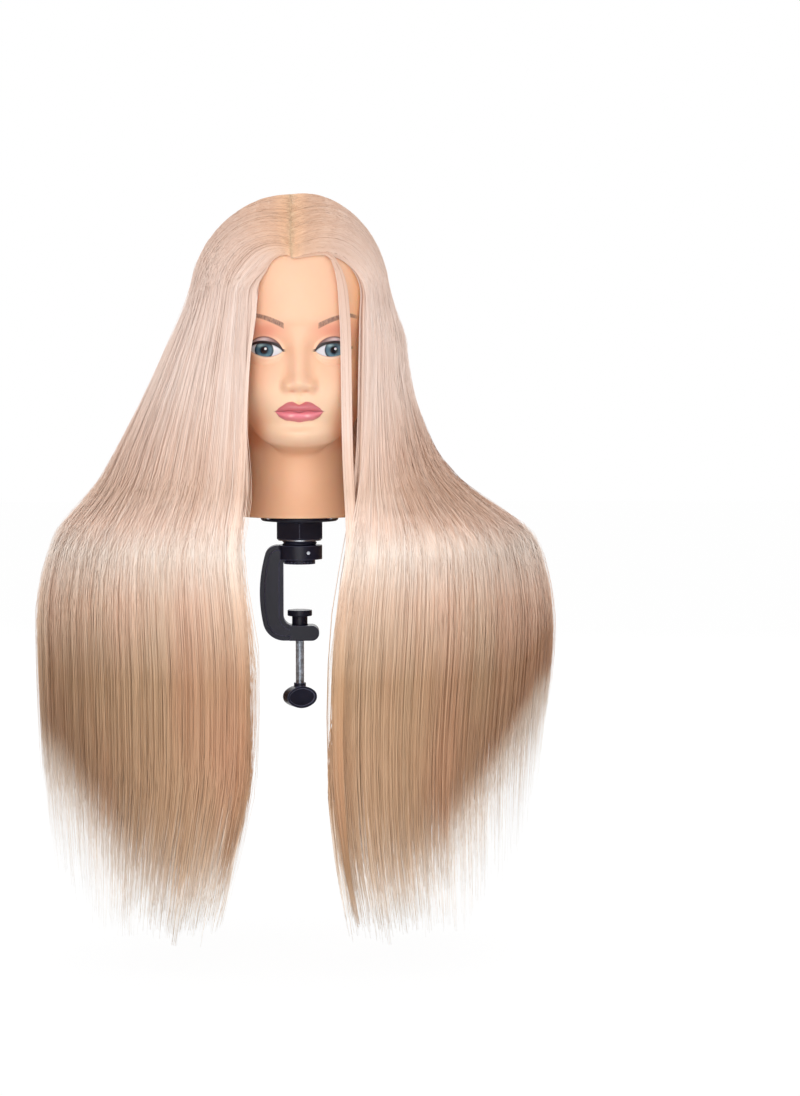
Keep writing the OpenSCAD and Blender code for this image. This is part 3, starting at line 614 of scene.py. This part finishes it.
# turn from the face edge of the curtain, at u = 0, round to the middle of the back, at u = 1
def hairTurn(side, u, q):
    wide = hairReach(side, q, 1)[0]
    first = np.arcsin((headShape.wide / 2 - curve(sided("edge", side), q)) / wide)
    return mix(first, np.pi - np.arcsin(curve(hairShape.edgeBack, q) / wide), u)


# one point of the hair: over the crown the strand leaves the parting in a straight line seen from above,
# then it falls along ovals whose reach changes with the level; o is 0 at the scalp side and 1 outside
def hairPoint(side, u, t, o):
    s = hairShape
    dome = headShape.dome
    u, t, o = np.broadcast_arrays(u, t, o)
    top = np.clip(t / s.crownShare, 0, 1)
    a = hairTurn(side, u, np.full_like(t, dome))
    e = np.sin(np.pi / 2 * top)
    n = 0 if side < 0 else 1
    x = mix(s.part[n], np.sin(a), e)
    y = (mix(mix(*s.partEnds, ease(u)), -np.cos(a), e)
         + s.bow[n] * np.sin(np.pi * e ** s.bowSkew[n]) * np.clip(1 - u, 0, 1) ** 2)
    z = np.sqrt(np.clip(1 - x * x - y * y, 0, 1))
    full = mix(s.edgeThin, 1, ease(u / 0.12)) * mix(s.rootDip, 1, ease(top / 0.22))
    part = o * mix(full, 1, ease((top - 0.55) / 0.45))
    crown = []
    for shell, rise in ((0.0, ease(top / 0.12)), (1.0, s.top)):
        w, f, b = hairReach(side, np.full_like(t, dome), shell)
        crown.append(np.stack([side * x * w, y * np.where(y < 0, f, b),
                               level(np.float64(dome)) + z * ((1 - dome) * headTall + rise)], -1))
    crown = mix(crown[0], crown[1], part[..., None])
    down = np.clip((t - s.crownShare) / (1 - s.crownShare), 0, None)
    q = mix(dome, curve(sided("tip", side), u), down)
    a = hairTurn(side, u, q)
    w, f, b = hairReach(side, q, o)
    fall = np.stack([side * w * np.sin(a), -np.cos(a) * np.where(np.cos(a) > 0, f, b), level(q)], -1)
    return np.where((t < s.crownShare)[..., None], crown, fall)


# place in the fall of colour: the strand's share at root and tip, and its level between them, so that the painted
# highlight band lies level across the shoulders
def fallShare(z, t):
    s = hairShape
    dome = headShape.dome
    q = (z - neckZ) / np.where(z > neckZ, headTall, s.drop)
    byLevel = s.crownShare + (1 - s.crownShare) * (dome - q) / (dome - s.colourEnd)
    share = ease((t - s.levelFrom) / s.levelFade) * (1 - ease((t - s.levelTo) / s.levelFade))
    return mix(t, byLevel, share)


# outside is reckoned from a point at this height in the head, and counts less upwards than sideways
strandForm = Values(sides=3, middle=130, upwards=0.35)


# closed three-sided strands along many paths at once: a low ridge outside, flat on the sheet below
def strandMesh(name, path, radius, tint, t, flat, pale=0):
    count, steps = path.shape[:2]
    sides = strandForm.sides
    run = unit(np.gradient(path, axis=1))
    out = (path - np.array([0, 0, neckZ + strandForm.middle])) * np.array([1, 1, strandForm.upwards])
    out = unit(out - (out * run).sum(-1, keepdims=True) * run)
    across = np.cross(run, out)
    turn = 2 * np.pi * np.arange(sides) / sides
    ring = flat * np.cos(turn)[:, None] * out[:, :, None, :] + np.sin(turn)[:, None] * across[:, :, None, :]
    points = path[:, :, None, :] + radius[:, :, None, None] * ring
    jump = (np.arange(count) * steps * sides)[:, None, None]
    walls = (gridFaces(steps, sides, True)[None] + jump).reshape(-1, 4)
    last = (steps - 1) * sides
    caps = (np.array([[0, 2, 1], [last, last + 1, last + 2]])[None] + jump).reshape(-1, 3)
    marks = dict(tint=np.repeat(np.clip(tint, 0, 1), steps * sides),
                 along=np.repeat(fallShare(path[..., 2], t) + pale, sides, axis=1))
    return putMesh(name, points, walls, caps, attributes=marks, ridge=sides)


strandRule = Values(
    steps=28, clumps=90, count=1160, bunch=1.55, thick=0.5, flat=0.2, wave=0.0015, gather=0.32, sway=0.05,
    stray=0.05, strayLift=0.3, deep=0.16, inner=0.14, clumpEnd=0.99, clumpVary=0.008, uneven=0.08,
    fromRoot=0.82, lateStart=0.24, rootThin=0.12, tipThin=0.22, shade=0.55, paleEdge=0.35, paleTip=0.06)


# strands of one curtain: clumps share an end and a tint, and each strand wanders a little about its clump
def curtainStrands(name, side, uLow, uHigh, edge):
    r = strandRule
    n, m, clumps = r.count, r.steps, r.clumps
    middle = mix(uLow, uHigh, (np.arange(clumps) + rng.random(clumps)) / clumps)
    length = r.clumpEnd + r.clumpVary * rng.normal(size=clumps)
    shade = r.shade + 0.15 * rng.normal(size=clumps)
    which = rng.integers(0, clumps, n)
    u0 = middle[which] + rng.normal(size=n) * 0.8 * (uHigh - uLow) / clumps
    drift = np.minimum(u0 - uLow, 0) - edge * rng.random(n) * (u0 < uLow + 0.03)
    u0 = np.clip(u0, uLow, uHigh + 0.003 * rng.random(n))
    u0 = u0 + lapU * rng.uniform(-1, 1, n) * (np.abs(u0 - splitU) < 0.02)  # the back seam is combed over
    deep = 1.0 - r.deep * rng.random(n)
    inner = rng.random(n) < r.inner
    deep = np.where(inner, 0.14 * rng.random(n), deep)
    end = np.clip(length[which] - r.uneven * rng.random(n) ** 1.3, 0.7, 0.998)
    start = np.where(rng.random(n) < r.fromRoot, 0.0, r.lateStart * rng.random(n))
    # the points of a strand lie closer over the crown
    s = np.linspace(0, 1, m)[None, :] ** (r.bunch + 0.3 * rng.uniform(-1, 1, (n, 1)))
    t = mix(start[:, None], end[:, None], s)
    gather = r.gather * ease((t - 0.3) / 0.75)
    u = (u0[:, None] + (middle[which] - u0)[:, None] * gather
         + np.maximum(drift, -edge)[:, None] * ease((t - 0.42) / 0.25))
    swing = rng.random((n, 2)) * 2 * np.pi
    u = u + r.wave * (rng.normal(size=n)[:, None] * np.sin(5 * t + swing[:, :1])
                         + 0.4 * np.sin(13 * t + swing[:, 1:])) * ease((t - 0.1) / 0.6)
    stray = (rng.random(n) < r.stray)[:, None] * chance(n)
    o = (deep[:, None] + r.sway * np.sin(4 * t + swing[:, :1]) * ease(t / 0.5)
         + r.strayLift * stray * ease((t - 0.25) / 0.4))
    path = hairPoint(side, u, t, o)
    radius = (r.thick * (0.75 + 0.5 * chance(n)) * (r.rootThin + (1 - r.rootThin) * ease(s / 0.1))
              * mix(1, r.tipThin, ease((s - 0.84) / 0.16)))
    tint = shade[which] + 0.18 * rng.normal(size=n) + r.paleEdge * np.exp(-np.clip(u0, 0, 1) / 0.06)
    return strandMesh(name, path, radius, tint, t, r.flat, r.paleTip * ease((s - 0.88) / 0.12))


endRule = Values(count=1900, steps=9, thick=0.5, flat=0.2, lowest=0.985, fringe=0.13, fringeShare=0.5, past=1.11,
                 uneven=0.09, begin=0.7, lean=0.004, paleTip=0.085)


# ends of one curtain: short strands that carry on past the sheet and stop unevenly
def curtainEnds(name, side, uLow, uHigh, edge):
    r = endRule
    n, dome, crown = r.count, headShape.dome, hairShape.crownShare
    u = uLow - edge + (uHigh - uLow + edge) * chance(n)
    s = np.linspace(0, 1, r.steps)[None, :]
    tip = curve(sided("tip", side), u)
    lowest = crown + (1 - crown) * (dome + r.lowest) / (dome - tip)
    fringe = (r.fringe * chance(n) ** 0.8 * (chance(n) < r.fringeShare)
              * np.clip((tip + 1) / 0.1, 0, 1))
    stop = 0.99 - r.uneven * chance(n) + 0.006 * np.sin(900 * u) + fringe
    stop = np.minimum(stop, np.minimum(lowest, r.past) - 0.03 * chance(n))
    t = mix(r.begin + 0.14 * chance(n), stop, s)
    lean = r.lean * rng.normal(size=(n, 1)) * s**2
    o = mix(0.12, 0.95, chance(n)) + 0 * s
    u = mix(np.clip(u, uLow, uHigh), np.clip(u + lean, uLow - edge, uHigh + 0.004), ease(s / 0.5))
    path = hairPoint(side, u, t, o)
    radius = (r.thick * (0.5 + 0.45 * chance(n)) * mix(0.7, 1, ease(s / 0.4))
              * mix(1, 0.25, ease((s - 0.5) / 0.5)))
    tint = 0.55 + 0.2 * rng.normal(size=n)
    return strandMesh(name, path, radius, tint, t, r.flat, r.paleTip * ease((s - 0.3) / 0.6))


bodyRule = Values(cols=200, rows=100, reach=0.875, uneven=0.085, middle=0.45, outer=0.4, inner=0.36, groove=0.03,
                  endThin=0.08, edgeThin=0.45, paleTip=0.06)


# body of one curtain: a closed sheet under the strands, grooved along them and thinned to its ends
def curtainBody(name, side, uLow, uHigh):
    b = bodyRule
    cols, rows = b.cols, b.rows
    u = np.linspace(uLow, uHigh, cols)[None, :]
    s = np.linspace(0, 1, rows)[:, None]
    groove = np.convolve(rng.normal(size=cols + 4), [0.25, 0.5, 0.25], "same")[2:-2]
    groove = groove / np.abs(groove).max()
    reach = b.reach + b.uneven * rng.random((1, cols)) ** 1.2
    t = b.reach * s + (reach - b.reach) * np.clip((s - 0.7) / 0.3, 0, 1) ** 2
    thin = mix(1, b.endThin, ease((s - 0.7) / 0.3))
    edge = ease((u - uLow) / 0.02) if uLow == 0 else 1.0 + 0 * u
    ridges = b.groove * groove[None, :] * ease(s / 0.2)
    outside = hairPoint(side, u, t, b.middle + (b.outer + ridges) * thin * mix(b.edgeThin, 1, edge))
    inside = hairPoint(side, u, t, b.middle - (b.inner + ridges) * thin * mix(b.edgeThin, 1, edge))
    lap, last = rows * cols, (rows - 1) * cols
    # the rim joins both sheets along their upper, lower, first and last lines
    i, j = np.arange(cols - 1), np.arange(rows - 1) * cols
    rims = np.concatenate([np.stack([a, c, lap + c, lap + a], -1) for a, c in (
        (i + 1, i), (last + i, last + i + 1), (j, j + cols), (j + 2 * cols - 1, j + cols - 1))])
    fine = 0.5 + 0.12 * groove[None, :] + 0.1 * rng.normal(size=(1, cols))
    tint = np.broadcast_to(np.clip(fine, 0, 1), (rows, cols))
    along = fallShare(outside[..., 2], t) + b.paleTip * ease((s - 0.92) / 0.08)
    marks = dict(tint=np.tile(tint.ravel(), 2), along=np.tile(along.ravel(), 2))
    return putMesh(name, np.stack([outside, inside]), gridFaces(rows, cols),
                   gridFaces(rows, cols, start=lap)[:, ::-1], rims, attributes=marks)


flyRule = Values(count=430, steps=18, thick=0.2, flat=0.6, lift=0.05, loose=0.16, soft=0.3, edgeBand=0.016,
                 drift=0.022, wave=0.004)


# fine hairs of one curtain: thin strands that lie over the rest, a few of them lifting clear of the outline
def curtainFine(name, side, uLow, uHigh):
    r = flyRule
    n = r.count
    u0 = mix(uLow, uHigh, chance(n))
    atEdge = (chance(n) < r.soft) * (uLow == 0)  # those at the open edge drift out and soften it
    u0 = np.where(atEdge, uLow + r.edgeBand * chance(n), u0)
    s = np.linspace(0, 1, r.steps)[None, :] ** 1.4
    t = mix(0.02 * chance(n), 0.8 + 0.19 * chance(n), s)
    drift = atEdge * r.drift * chance(n) ** 1.6 * ease((t - 0.5) / 0.25)
    lift = r.lift * chance(n) + r.loose * chance(n) ** 4
    swing = 2 * np.pi * rng.random((n, 2))
    u = u0 + r.wave * np.sin(4 * t + swing[:, :1]) * ease((t - 0.2) / 0.4)
    o = 1.0 + lift * ease((t - 0.1) / 0.3) * (0.75 + 0.25 * np.sin(6 * t + swing[:, 1:]))
    path = hairPoint(side, np.clip(u, uLow, uHigh) - drift, t, o)
    radius = r.thick * (0.6 + 0.6 * chance(n)) * mix(1, 0.3, ease((s - 0.7) / 0.3))
    return strandMesh(name, path, radius, 0.68 + 0.16 * rng.normal(size=n), t, r.flat)


hairTones = Values(
    dark=(196, 170, 152), mid=(252, 246, 240), pale=(255, 255, 255), ash=(251, 255, 246), copper=(255, 244, 234),
    low=(226, 208, 194))
# the fall: peach roots, painted shade at 0.52 to 0.57, a painted highlight band at 0.61 to 0.645 where the hair bends
# over the shoulders, lower lengths darker, partly their own colour and partly painted shade, and pale tips
hairFall = [(0.0, (255, 226, 192)), (0.012, (250, 210, 176)), (0.035, (230, 193, 167)), (0.12, (226, 197, 181)),
            (0.3, (241, 221, 211)), (0.42, (247, 228, 218)), (0.52, (245, 220, 205)), (0.57, (240, 213, 195)),
            (0.61, (253, 231, 217)), (0.645, (255, 242, 232)), (0.7, (243, 214, 194)), (0.785, (209, 170, 140)),
            (0.87, (210, 169, 139)), (0.93, (207, 167, 138)), (0.965, (232, 203, 179)), (1.0, (255, 242, 229))]


# colour falls from root to tip along the strand, with a painted highlight band and painted shade about it where the
# hair bends over the shoulders; each strand has a tint of its own
def hairLook(name, lift):
    c = palette(hairTones)
    k = Look(name)
    tint, along = k.attribute("tint"), k.attribute("along")
    strand = k.ramp(tint + lift, [(0.0, c.dark), (0.5, c.mid), (1.0, c.pale)])
    fall = k.ramp(along, [(at, tone(*v)) for at, v in hairFall])
    colour = k.blend(fall, strand, 1 - k.step(0.45, 0.78, along) * 0.45, "MULTIPLY")
    wash = k.blend(c.ash, c.copper, k.step(0.36, 0.64, k.noise(13.0, 2.0, (1.0, 1.0, 0.22))))
    colour = k.blend(colour, wash, k.step(0.62, 0.8, along) * k.step(1.0, 0.92, along), "MULTIPLY")
    # painted shade on the slopes above the shoulders, stronger on the right and deeper where a strand's tint is dark
    x, _, z = k.place()
    h = z - neckZ
    slope = (k.step(66, 106, x) + k.step(-60, -100, x) * 0.3) * k.step(-24, 10, h) * k.step(130, 60, h)
    colour = k.blend(colour, c.low, slope * (k.step(0.8, 0.35, tint) * 0.5 + 0.5), "MULTIPLY")
    k.bump(k.noise(2600.0, 2.0, (1.0, 1.0, 0.05)), 0.2, 0.0003)
    return k.finish(Base_Color=colour, Roughness=0.34 + k.noise(300.0, 2.0) * 0.14)


# the body's copy is a little darker: painted shade for the sheet under the strands
strandLook, bodyLook = hairLook("hairStrand", 0.0), hairLook("hairBody", -0.05)
splitU, lapU = 0.4, 0.01
# each curtain: side, first and last place round the head, the node it stands for, and how far its edge strays
curtains = [("LeftFront", -1, 0.0, splitU, "hair_left_front", 0.006),
            ("LeftBack", -1, splitU, 1.0, "hair_left_back", 0.003),
            ("RightFront", 1, 0.0, splitU, "hair_right_front", 0.022),
            ("RightBack", 1, splitU, 1.0, "hair_right_back", 0.003)]
for part, side, uLow, uHigh, node, edge in curtains:
    settle(curtainBody("hairBody" + part, side, uLow, uHigh), "head", "hair", bodyLook, node)
    settle(curtainStrands("hairStrands" + part, side, uLow, uHigh, edge), "head", "hair", strandLook)
    settle(curtainEnds("hairEnds" + part, side, uLow, uHigh, edge), "head", "hair", strandLook)
    settle(curtainFine("hairFine" + part, side, uLow, uHigh), "head", "hair", strandLook)
    print("hair curtain made:", part)

lockShape = Values(
    side=[(-0.97, 21.5), (-0.89, 28), (-0.79, 34), (-0.6, 40.5), (-0.4, 40.5), (-0.2, 36), (-0.06, 29.5), (0, 29.5),
          (0.2, 32), (0.44, 33), (0.57, 33.5), (0.65, 34.5), (0.74, 37), (0.797, 42), (0.845, 51)],
    fore=[(-1, 24), (-0.5, 28), (-0.1, 26), (0, 19), (0.1, 8), (0.25, -3), (0.35, -8), (0.42, -8.6), (0.5, -9.5),
          (0.57, -9.3), (0.62, -7.6), (0.7, -7), (0.74, -7), (0.797, -8.4), (0.82, -11), (0.845, -16)],
    half=4.6, thick=1.9, count=190, steps=48, first=0.838, last=-0.95, uneven=0.16, twist=1.4, strand=0.55, flat=0.7)


# loose lock: its strands leave the parting along the hair line, then hang packed in an oval about one path
def looseLock():
    p = lockShape
    n = p.count
    s = np.linspace(0, 1, p.steps)[None, :] ** 1.3
    end = 1 - p.uneven * chance(n) ** 1.2
    hang = np.clip((s - 0.05) / 0.95, 0, 1) * end
    q = mix(p.first, p.last, hang)
    spin = 2 * np.pi * chance(n) + p.twist * s
    out = np.sqrt(chance(n)) * (0.35 + 0.65 * ease(s / 0.15)) * mix(1, 0.5, ease((s - 0.8) / 0.2))
    x = headShape.wide / 2 - curve(p.side, q) + p.half * out * np.cos(spin)
    y = -headShape.fore - curve(p.fore, q) + p.thick * out * np.sin(spin)
    t = mix(0.07 * chance(n), 0.115, s / 0.075)
    path = mix(hairPoint(1, 0.002 + 0.016 * chance(n), t, 1.1), np.stack([x, y, level(q)], -1),
               ease((s - 0.03) / 0.06)[..., None])
    radius = (p.strand * (0.75 + 0.5 * chance(n)) * (0.3 + 0.7 * ease(s / 0.1))
              * mix(1, 0.16, ease((s - 0.75) / 0.25)))
    tint = 0.55 + 0.18 * rng.normal(size=n)
    return strandMesh("hairLooseLock", path, radius, tint, 0.06 + 0.94 * s * end, p.flat)


settle(looseLock(), "head", "hair", strandLook, "face_lock")
print("loose lock made")

# wisps: a thin lock that hangs free of the left curtain beside the brow, and fine hairs across the neck
wispRule = Values(
    steps=44, brow=70, browThick=0.45, neck=16, neckThick=0.22, flat=0.6,
    browOut=[(0, 0), (0.12, 0.003), (0.2, 0.018), (0.287, 0.034), (0.32, 0.0245), (0.357, 0.0135), (0.42, 0.006),
             (0.52, 0.001), (1, 0)],
    neckOut=[(0, 0), (0.42, 0), (0.5, 0.012), (0.56, 0.02), (0.62, 0.018), (0.7, 0.008), (0.78, 0.001), (1, 0)])


def looseWisps():
    w = wispRule
    n = w.brow + w.neck
    atNeck = (np.arange(n) >= w.brow)[:, None]
    s = np.linspace(0, 1, w.steps)[None, :] ** 1.5
    t = mix(0.01 + 0.05 * chance(n), 0.8 + 0.18 * chance(n), s)
    spread = 0.72 + 0.4 * chance(n)
    neckOut = curve(w.neckOut, t) * mix(0.2, 1.2, chance(n))
    out = np.where(atNeck, neckOut, curve(w.browOut, t) * spread)
    u = 0.012 * chance(n) * ease((t - 0.3) / 0.3) - out + 0.0015 * np.sin(9 * t + 6.3 * chance(n))
    path = hairPoint(-1, u, t, 1.0 + 0.1 * chance(n))
    thick = np.where(atNeck, w.neckThick, w.browThick)
    radius = thick * (0.4 + 0.6 * ease(s / 0.1)) * mix(1, 0.25, ease((s - 0.7) / 0.3))
    return strandMesh("hairWisps", path, radius, 0.6 + 0.18 * rng.normal(size=n), t, w.flat)


settle(looseWisps(), "head", "hair", strandLook)
print("wisps made")


surfaces = Values(edge=(0.0013, 0.008, 0.13), rub=0.95, pale=(1.45, 6), worn=(1.8, 48), plasticShine=0.3,
                  metalDark=0.72, foamDark=(226, 214, 186), foamPale=(245, 238, 220))


# a colour made lighter: times a gain plus a lift, up to white
def lighter(colour, gain, lift):
    return tone(*[min(255, v * gain + lift) for v in colour])


# moulded plastic: a dark grained skin; the grain lifts the colour a little, and a painted highlight with some wear
# pales the edges
def plasticLook(name, colour, rough, grain):
    k = Look(name)
    speck = k.noise(grain, 4.0)
    broad = k.noise(45.0, 2.0)
    soft, edge = k.edges(*surfaces.edge)
    k.bump(speck, 0.22, 0.0003, soft)
    pale, worn = lighter(colour, *surfaces.pale), lighter(colour, *surfaces.worn)
    body = k.blend(tone(*colour), pale, k.step(0.35, 0.8, broad) * 0.5 + k.step(0.5, 0.8, speck) * 0.2)
    return k.finish(Base_Color=k.blend(body, worn, edge * surfaces.rub), Roughness=rough + broad * 0.12,
                    Specular_IOR_Level=surfaces.plasticShine)


# drawn or plated metal: fine scratches round the axis
def metalLook(name, colour, rough):
    k = Look(name)
    line = k.noise(1500.0, 3.0, (0.15, 0.15, 1.0))
    dull = k.noise(220.0, 4.0)
    body = k.blend(lighter(colour, surfaces.metalDark, 0), tone(*colour), k.step(0.3, 0.7, dull))
    k.bump(line, 0.1, 0.0002)
    return k.finish(Base_Color=body, Roughness=rough + line * 0.12, Metallic=1.0)


# foam: pale, dry, full of small cells
def foamLook():
    k = Look("coreFoam")
    cell = k.noise(900.0, 3.0)
    k.bump(cell, 0.5, 0.0008)
    body = k.blend(tone(*surfaces.foamDark), tone(*surfaces.foamPale), cell)
    return k.finish(Base_Color=body, Roughness=0.9)


framePlastic = plasticLook("framePlastic", (27, 28, 43), 0.36, 1100.0)
nutPlastic = plasticLook("nutPlastic", (31, 32, 46), 0.32, 900.0)
knobPlastic = plasticLook("knobPlastic", (34, 37, 53), 0.24, 700.0)
socketPlastic = plasticLook("socketPlastic", (58, 58, 62), 0.42, 800.0)
zincSteel = metalLook("zincSteel", (176, 180, 186), 0.3)
rodSteel = metalLook("rodSteel", (206, 220, 236), 0.3)
springSteel = metalLook("springSteel", (196, 200, 204), 0.25)
coreFoam = foamLook()


moulding = Values(weld=2e-6, flatWithin=0.6, sharpOver=35, segments=3)


# a moulded part: its solid's own faces joined up, with every sharp edge rounded over
def mouldedCopy(node, name, roundOver, body, slot, material):
    mesh = nodes[node].data.copy()
    mesh.name = name
    b = bmesh.new()
    b.from_mesh(mesh)
    bmesh.ops.remove_doubles(b, verts=b.verts, dist=moulding.weld)
    flat = math.radians(moulding.flatWithin)
    bmesh.ops.dissolve_limit(b, angle_limit=flat, verts=b.verts, edges=b.edges)
    b.to_mesh(mesh)
    b.free()
    mesh.polygons.foreach_set("use_smooth", np.ones(len(mesh.polygons), bool))
    piece = bpy.data.objects.new(name, mesh)
    scene.collection.objects.link(piece)
    bevel = piece.modifiers.new("roundOver", "BEVEL")
    bevel.width, bevel.segments = roundOver * mm, moulding.segments
    bevel.limit_method, bevel.angle_limit = "ANGLE", math.radians(moulding.sharpOver)
    bevel.miter_outer = "MITER_ARC"
    normal = piece.modifiers.new("evenNormals", "WEIGHTED_NORMAL")
    normal.keep_sharp = False
    return settle(piece, body, slot, material, node)


mouldedCopy("clamp_frame", "clampFrame", 0.9, "clamp", "clamp_plastic", framePlastic)
mouldedCopy("post", "clampPost", 0.5, "post", "clamp_plastic", framePlastic)
mouldedCopy("lock_nut", "lockNut", 0.8, "lock_nut", "clamp_plastic", nutPlastic)
mouldedCopy("swivel_pad", "swivelPad", 0.7, "pad", "pad_plastic", framePlastic)
mouldedCopy("thumb_knob", "thumbKnob", 0.9, "screw", "knob_plastic", knobPlastic)
print("moulded clamp parts made")

threads = Values(flank=2.4, crest=0.2, rodPitch=1.25, rodDepth=0.32, rodAround=36, rodPerTurn=10, rodTip=1.2,
                 rodTipSize=0.75, stemPitch=3.0, stemDepth=1.2, stemRadius=16.0, stemAround=96, stemRows=36,
                 stemWall=0.5, stemGap=0.04)


# screw thread: the radius falls off as a triangle wave of turn plus height over the pitch
def threadRadius(angle, z, radius, depth, pitch):
    phase = (z / pitch - angle / (2 * np.pi)) % 1
    return radius - depth * np.clip(np.abs(phase - 0.5) * threads.flank - threads.crest, 0, 1)


# points round the upright axis at a radius that may change with turn and height
def roundAxis(r, a, z):
    return np.stack([r * np.cos(a) + 0 * z, r * np.sin(a) + 0 * z, z + 0 * a], -1)


# the clamp screw's rod, its tip tapered
def threadedRod():
    w = threads
    low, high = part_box("clamp_screw")
    lowZ, highZ, radius = low.z / mm, high.z / mm, high.x / mm
    rows, n = int((highZ - lowZ) / w.rodPitch * w.rodPerTurn), w.rodAround
    z = np.linspace(lowZ, highZ, rows)[:, None]
    a = np.linspace(0, 2 * np.pi, n, endpoint=False)[None, :]
    taper = mix(w.rodTipSize, 1, ease((highZ - z) / w.rodTip))
    points = roundAxis(threadRadius(a, z, radius, w.rodDepth, w.rodPitch) * taper, a, z).reshape(-1, 3)
    points = np.concatenate([points, [[0, 0, lowZ], [0, 0, highZ]]])
    return putMesh("clampRod", points, gridFaces(rows, n, True), *endFans(rows, n))


# a threaded sleeve about the post, between the frame and the washer
def stemThread():
    w = threads
    washer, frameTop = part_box("nut_washer")[0].z / mm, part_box("clamp_frame")[1].z / mm
    n = w.stemAround
    z = np.linspace(frameTop + w.stemGap, washer - w.stemGap, w.stemRows)[:, None]
    a = np.linspace(0, 2 * np.pi, n, endpoint=False)[None, :]
    outer = roundAxis(threadRadius(a, z, w.stemRadius, w.stemDepth, w.stemPitch), a, z)
    inner = roundAxis(w.stemRadius - w.stemDepth - w.stemWall, a, z)
    loop = np.concatenate([outer, inner[::-1]])
    i = np.arange(n)
    last, after = (len(loop) - 1) * n, (i + 1) % n
    close = np.stack([last + i, last + after, after, i], -1)
    return putMesh("stemThread", loop, gridFaces(len(loop), n, True), close)


settle(threadedRod(), "screw", "screw_steel", rodSteel, "clamp_screw")
settle(stemThread(), "post", "clamp_plastic", framePlastic)
print("threads made")

for node, material in (("foam_core", coreFoam), ("neck_plug", socketPlastic), ("plug_screws", zincSteel),
                       ("captive_nut", zincSteel), ("post_pin", zincSteel), ("nut_washer", zincSteel),
                       ("pad_clip", springSteel)):
    dress(nodes[node], material)

room = Values(floorZ=-362.0, half=9.0, world=0.62, camera=1.0, floorTone=0.86, glow=1.04, glowShare=0.9)


# floor: lit white, and a white of its own for the camera so that the ground meets the backdrop
def makeRoom():
    k = Look("paleFloor")
    seen = k.seen()
    pale = room.floorTone
    k.finish(Base_Color=(pale, pale, pale, 1), Roughness=0.9)
    glow = k.add("Emission", None, {"Color": (1, 1, 1, 1), "Strength": room.glow})
    both = k.add("MixShader", None, {"Fac": seen * room.glowShare, 1: k.shader.outputs[0], 2: glow.outputs[0]})
    k.feed(k.tree.nodes["Material Output"].inputs["Surface"], both.outputs[0])
    w, z = room.half / mm, room.floorZ
    floor = putMesh("paleFloor", [[-w, -w, z], [w, -w, z], [w, w, z], [-w, w, z]], np.array([[0, 1, 2, 3]]))
    dress(floor, k.material)
    scene.world = bpy.data.worlds.new("studio")
    k = Look("studio", scene.world)
    k.finish(Color=(1, 1, 1, 1), Strength=k.seen() * (room.camera - room.world) + room.world)


# each lamp: place and size in metres, and power in watts; all face one point
lampAim = (0, 0, 0.05)
lamps = [("keyPanel", (-0.7, -2.6, 0.7), 2.0, 25.5), ("fillPanel", (0.7, -2.5, -0.25), 1.8, 22.5),
         ("topPanel", (0.1, 0.2, 2.0), 1.4, 7.0), ("backPanel", (0.4, 2.4, 1.2), 1.8, 18.0)]


def makeLamps():
    for name, at, size, power in lamps:
        data = bpy.data.lights.new(name, "AREA")
        data.shape, data.size, data.energy = "SQUARE", size, power
        lamp = bpy.data.objects.new(name, data)
        scene.collection.objects.link(lamp)
        lamp.location = at
        away = np.array(at) - np.array(lampAim)
        tilt, turn = math.acos(away[2] / np.linalg.norm(away)), math.atan2(away[1], away[0])
        lamp.rotation_euler = (tilt, 0, turn + math.pi / 2)


makeRoom()
makeLamps()
print("room and lamps made")
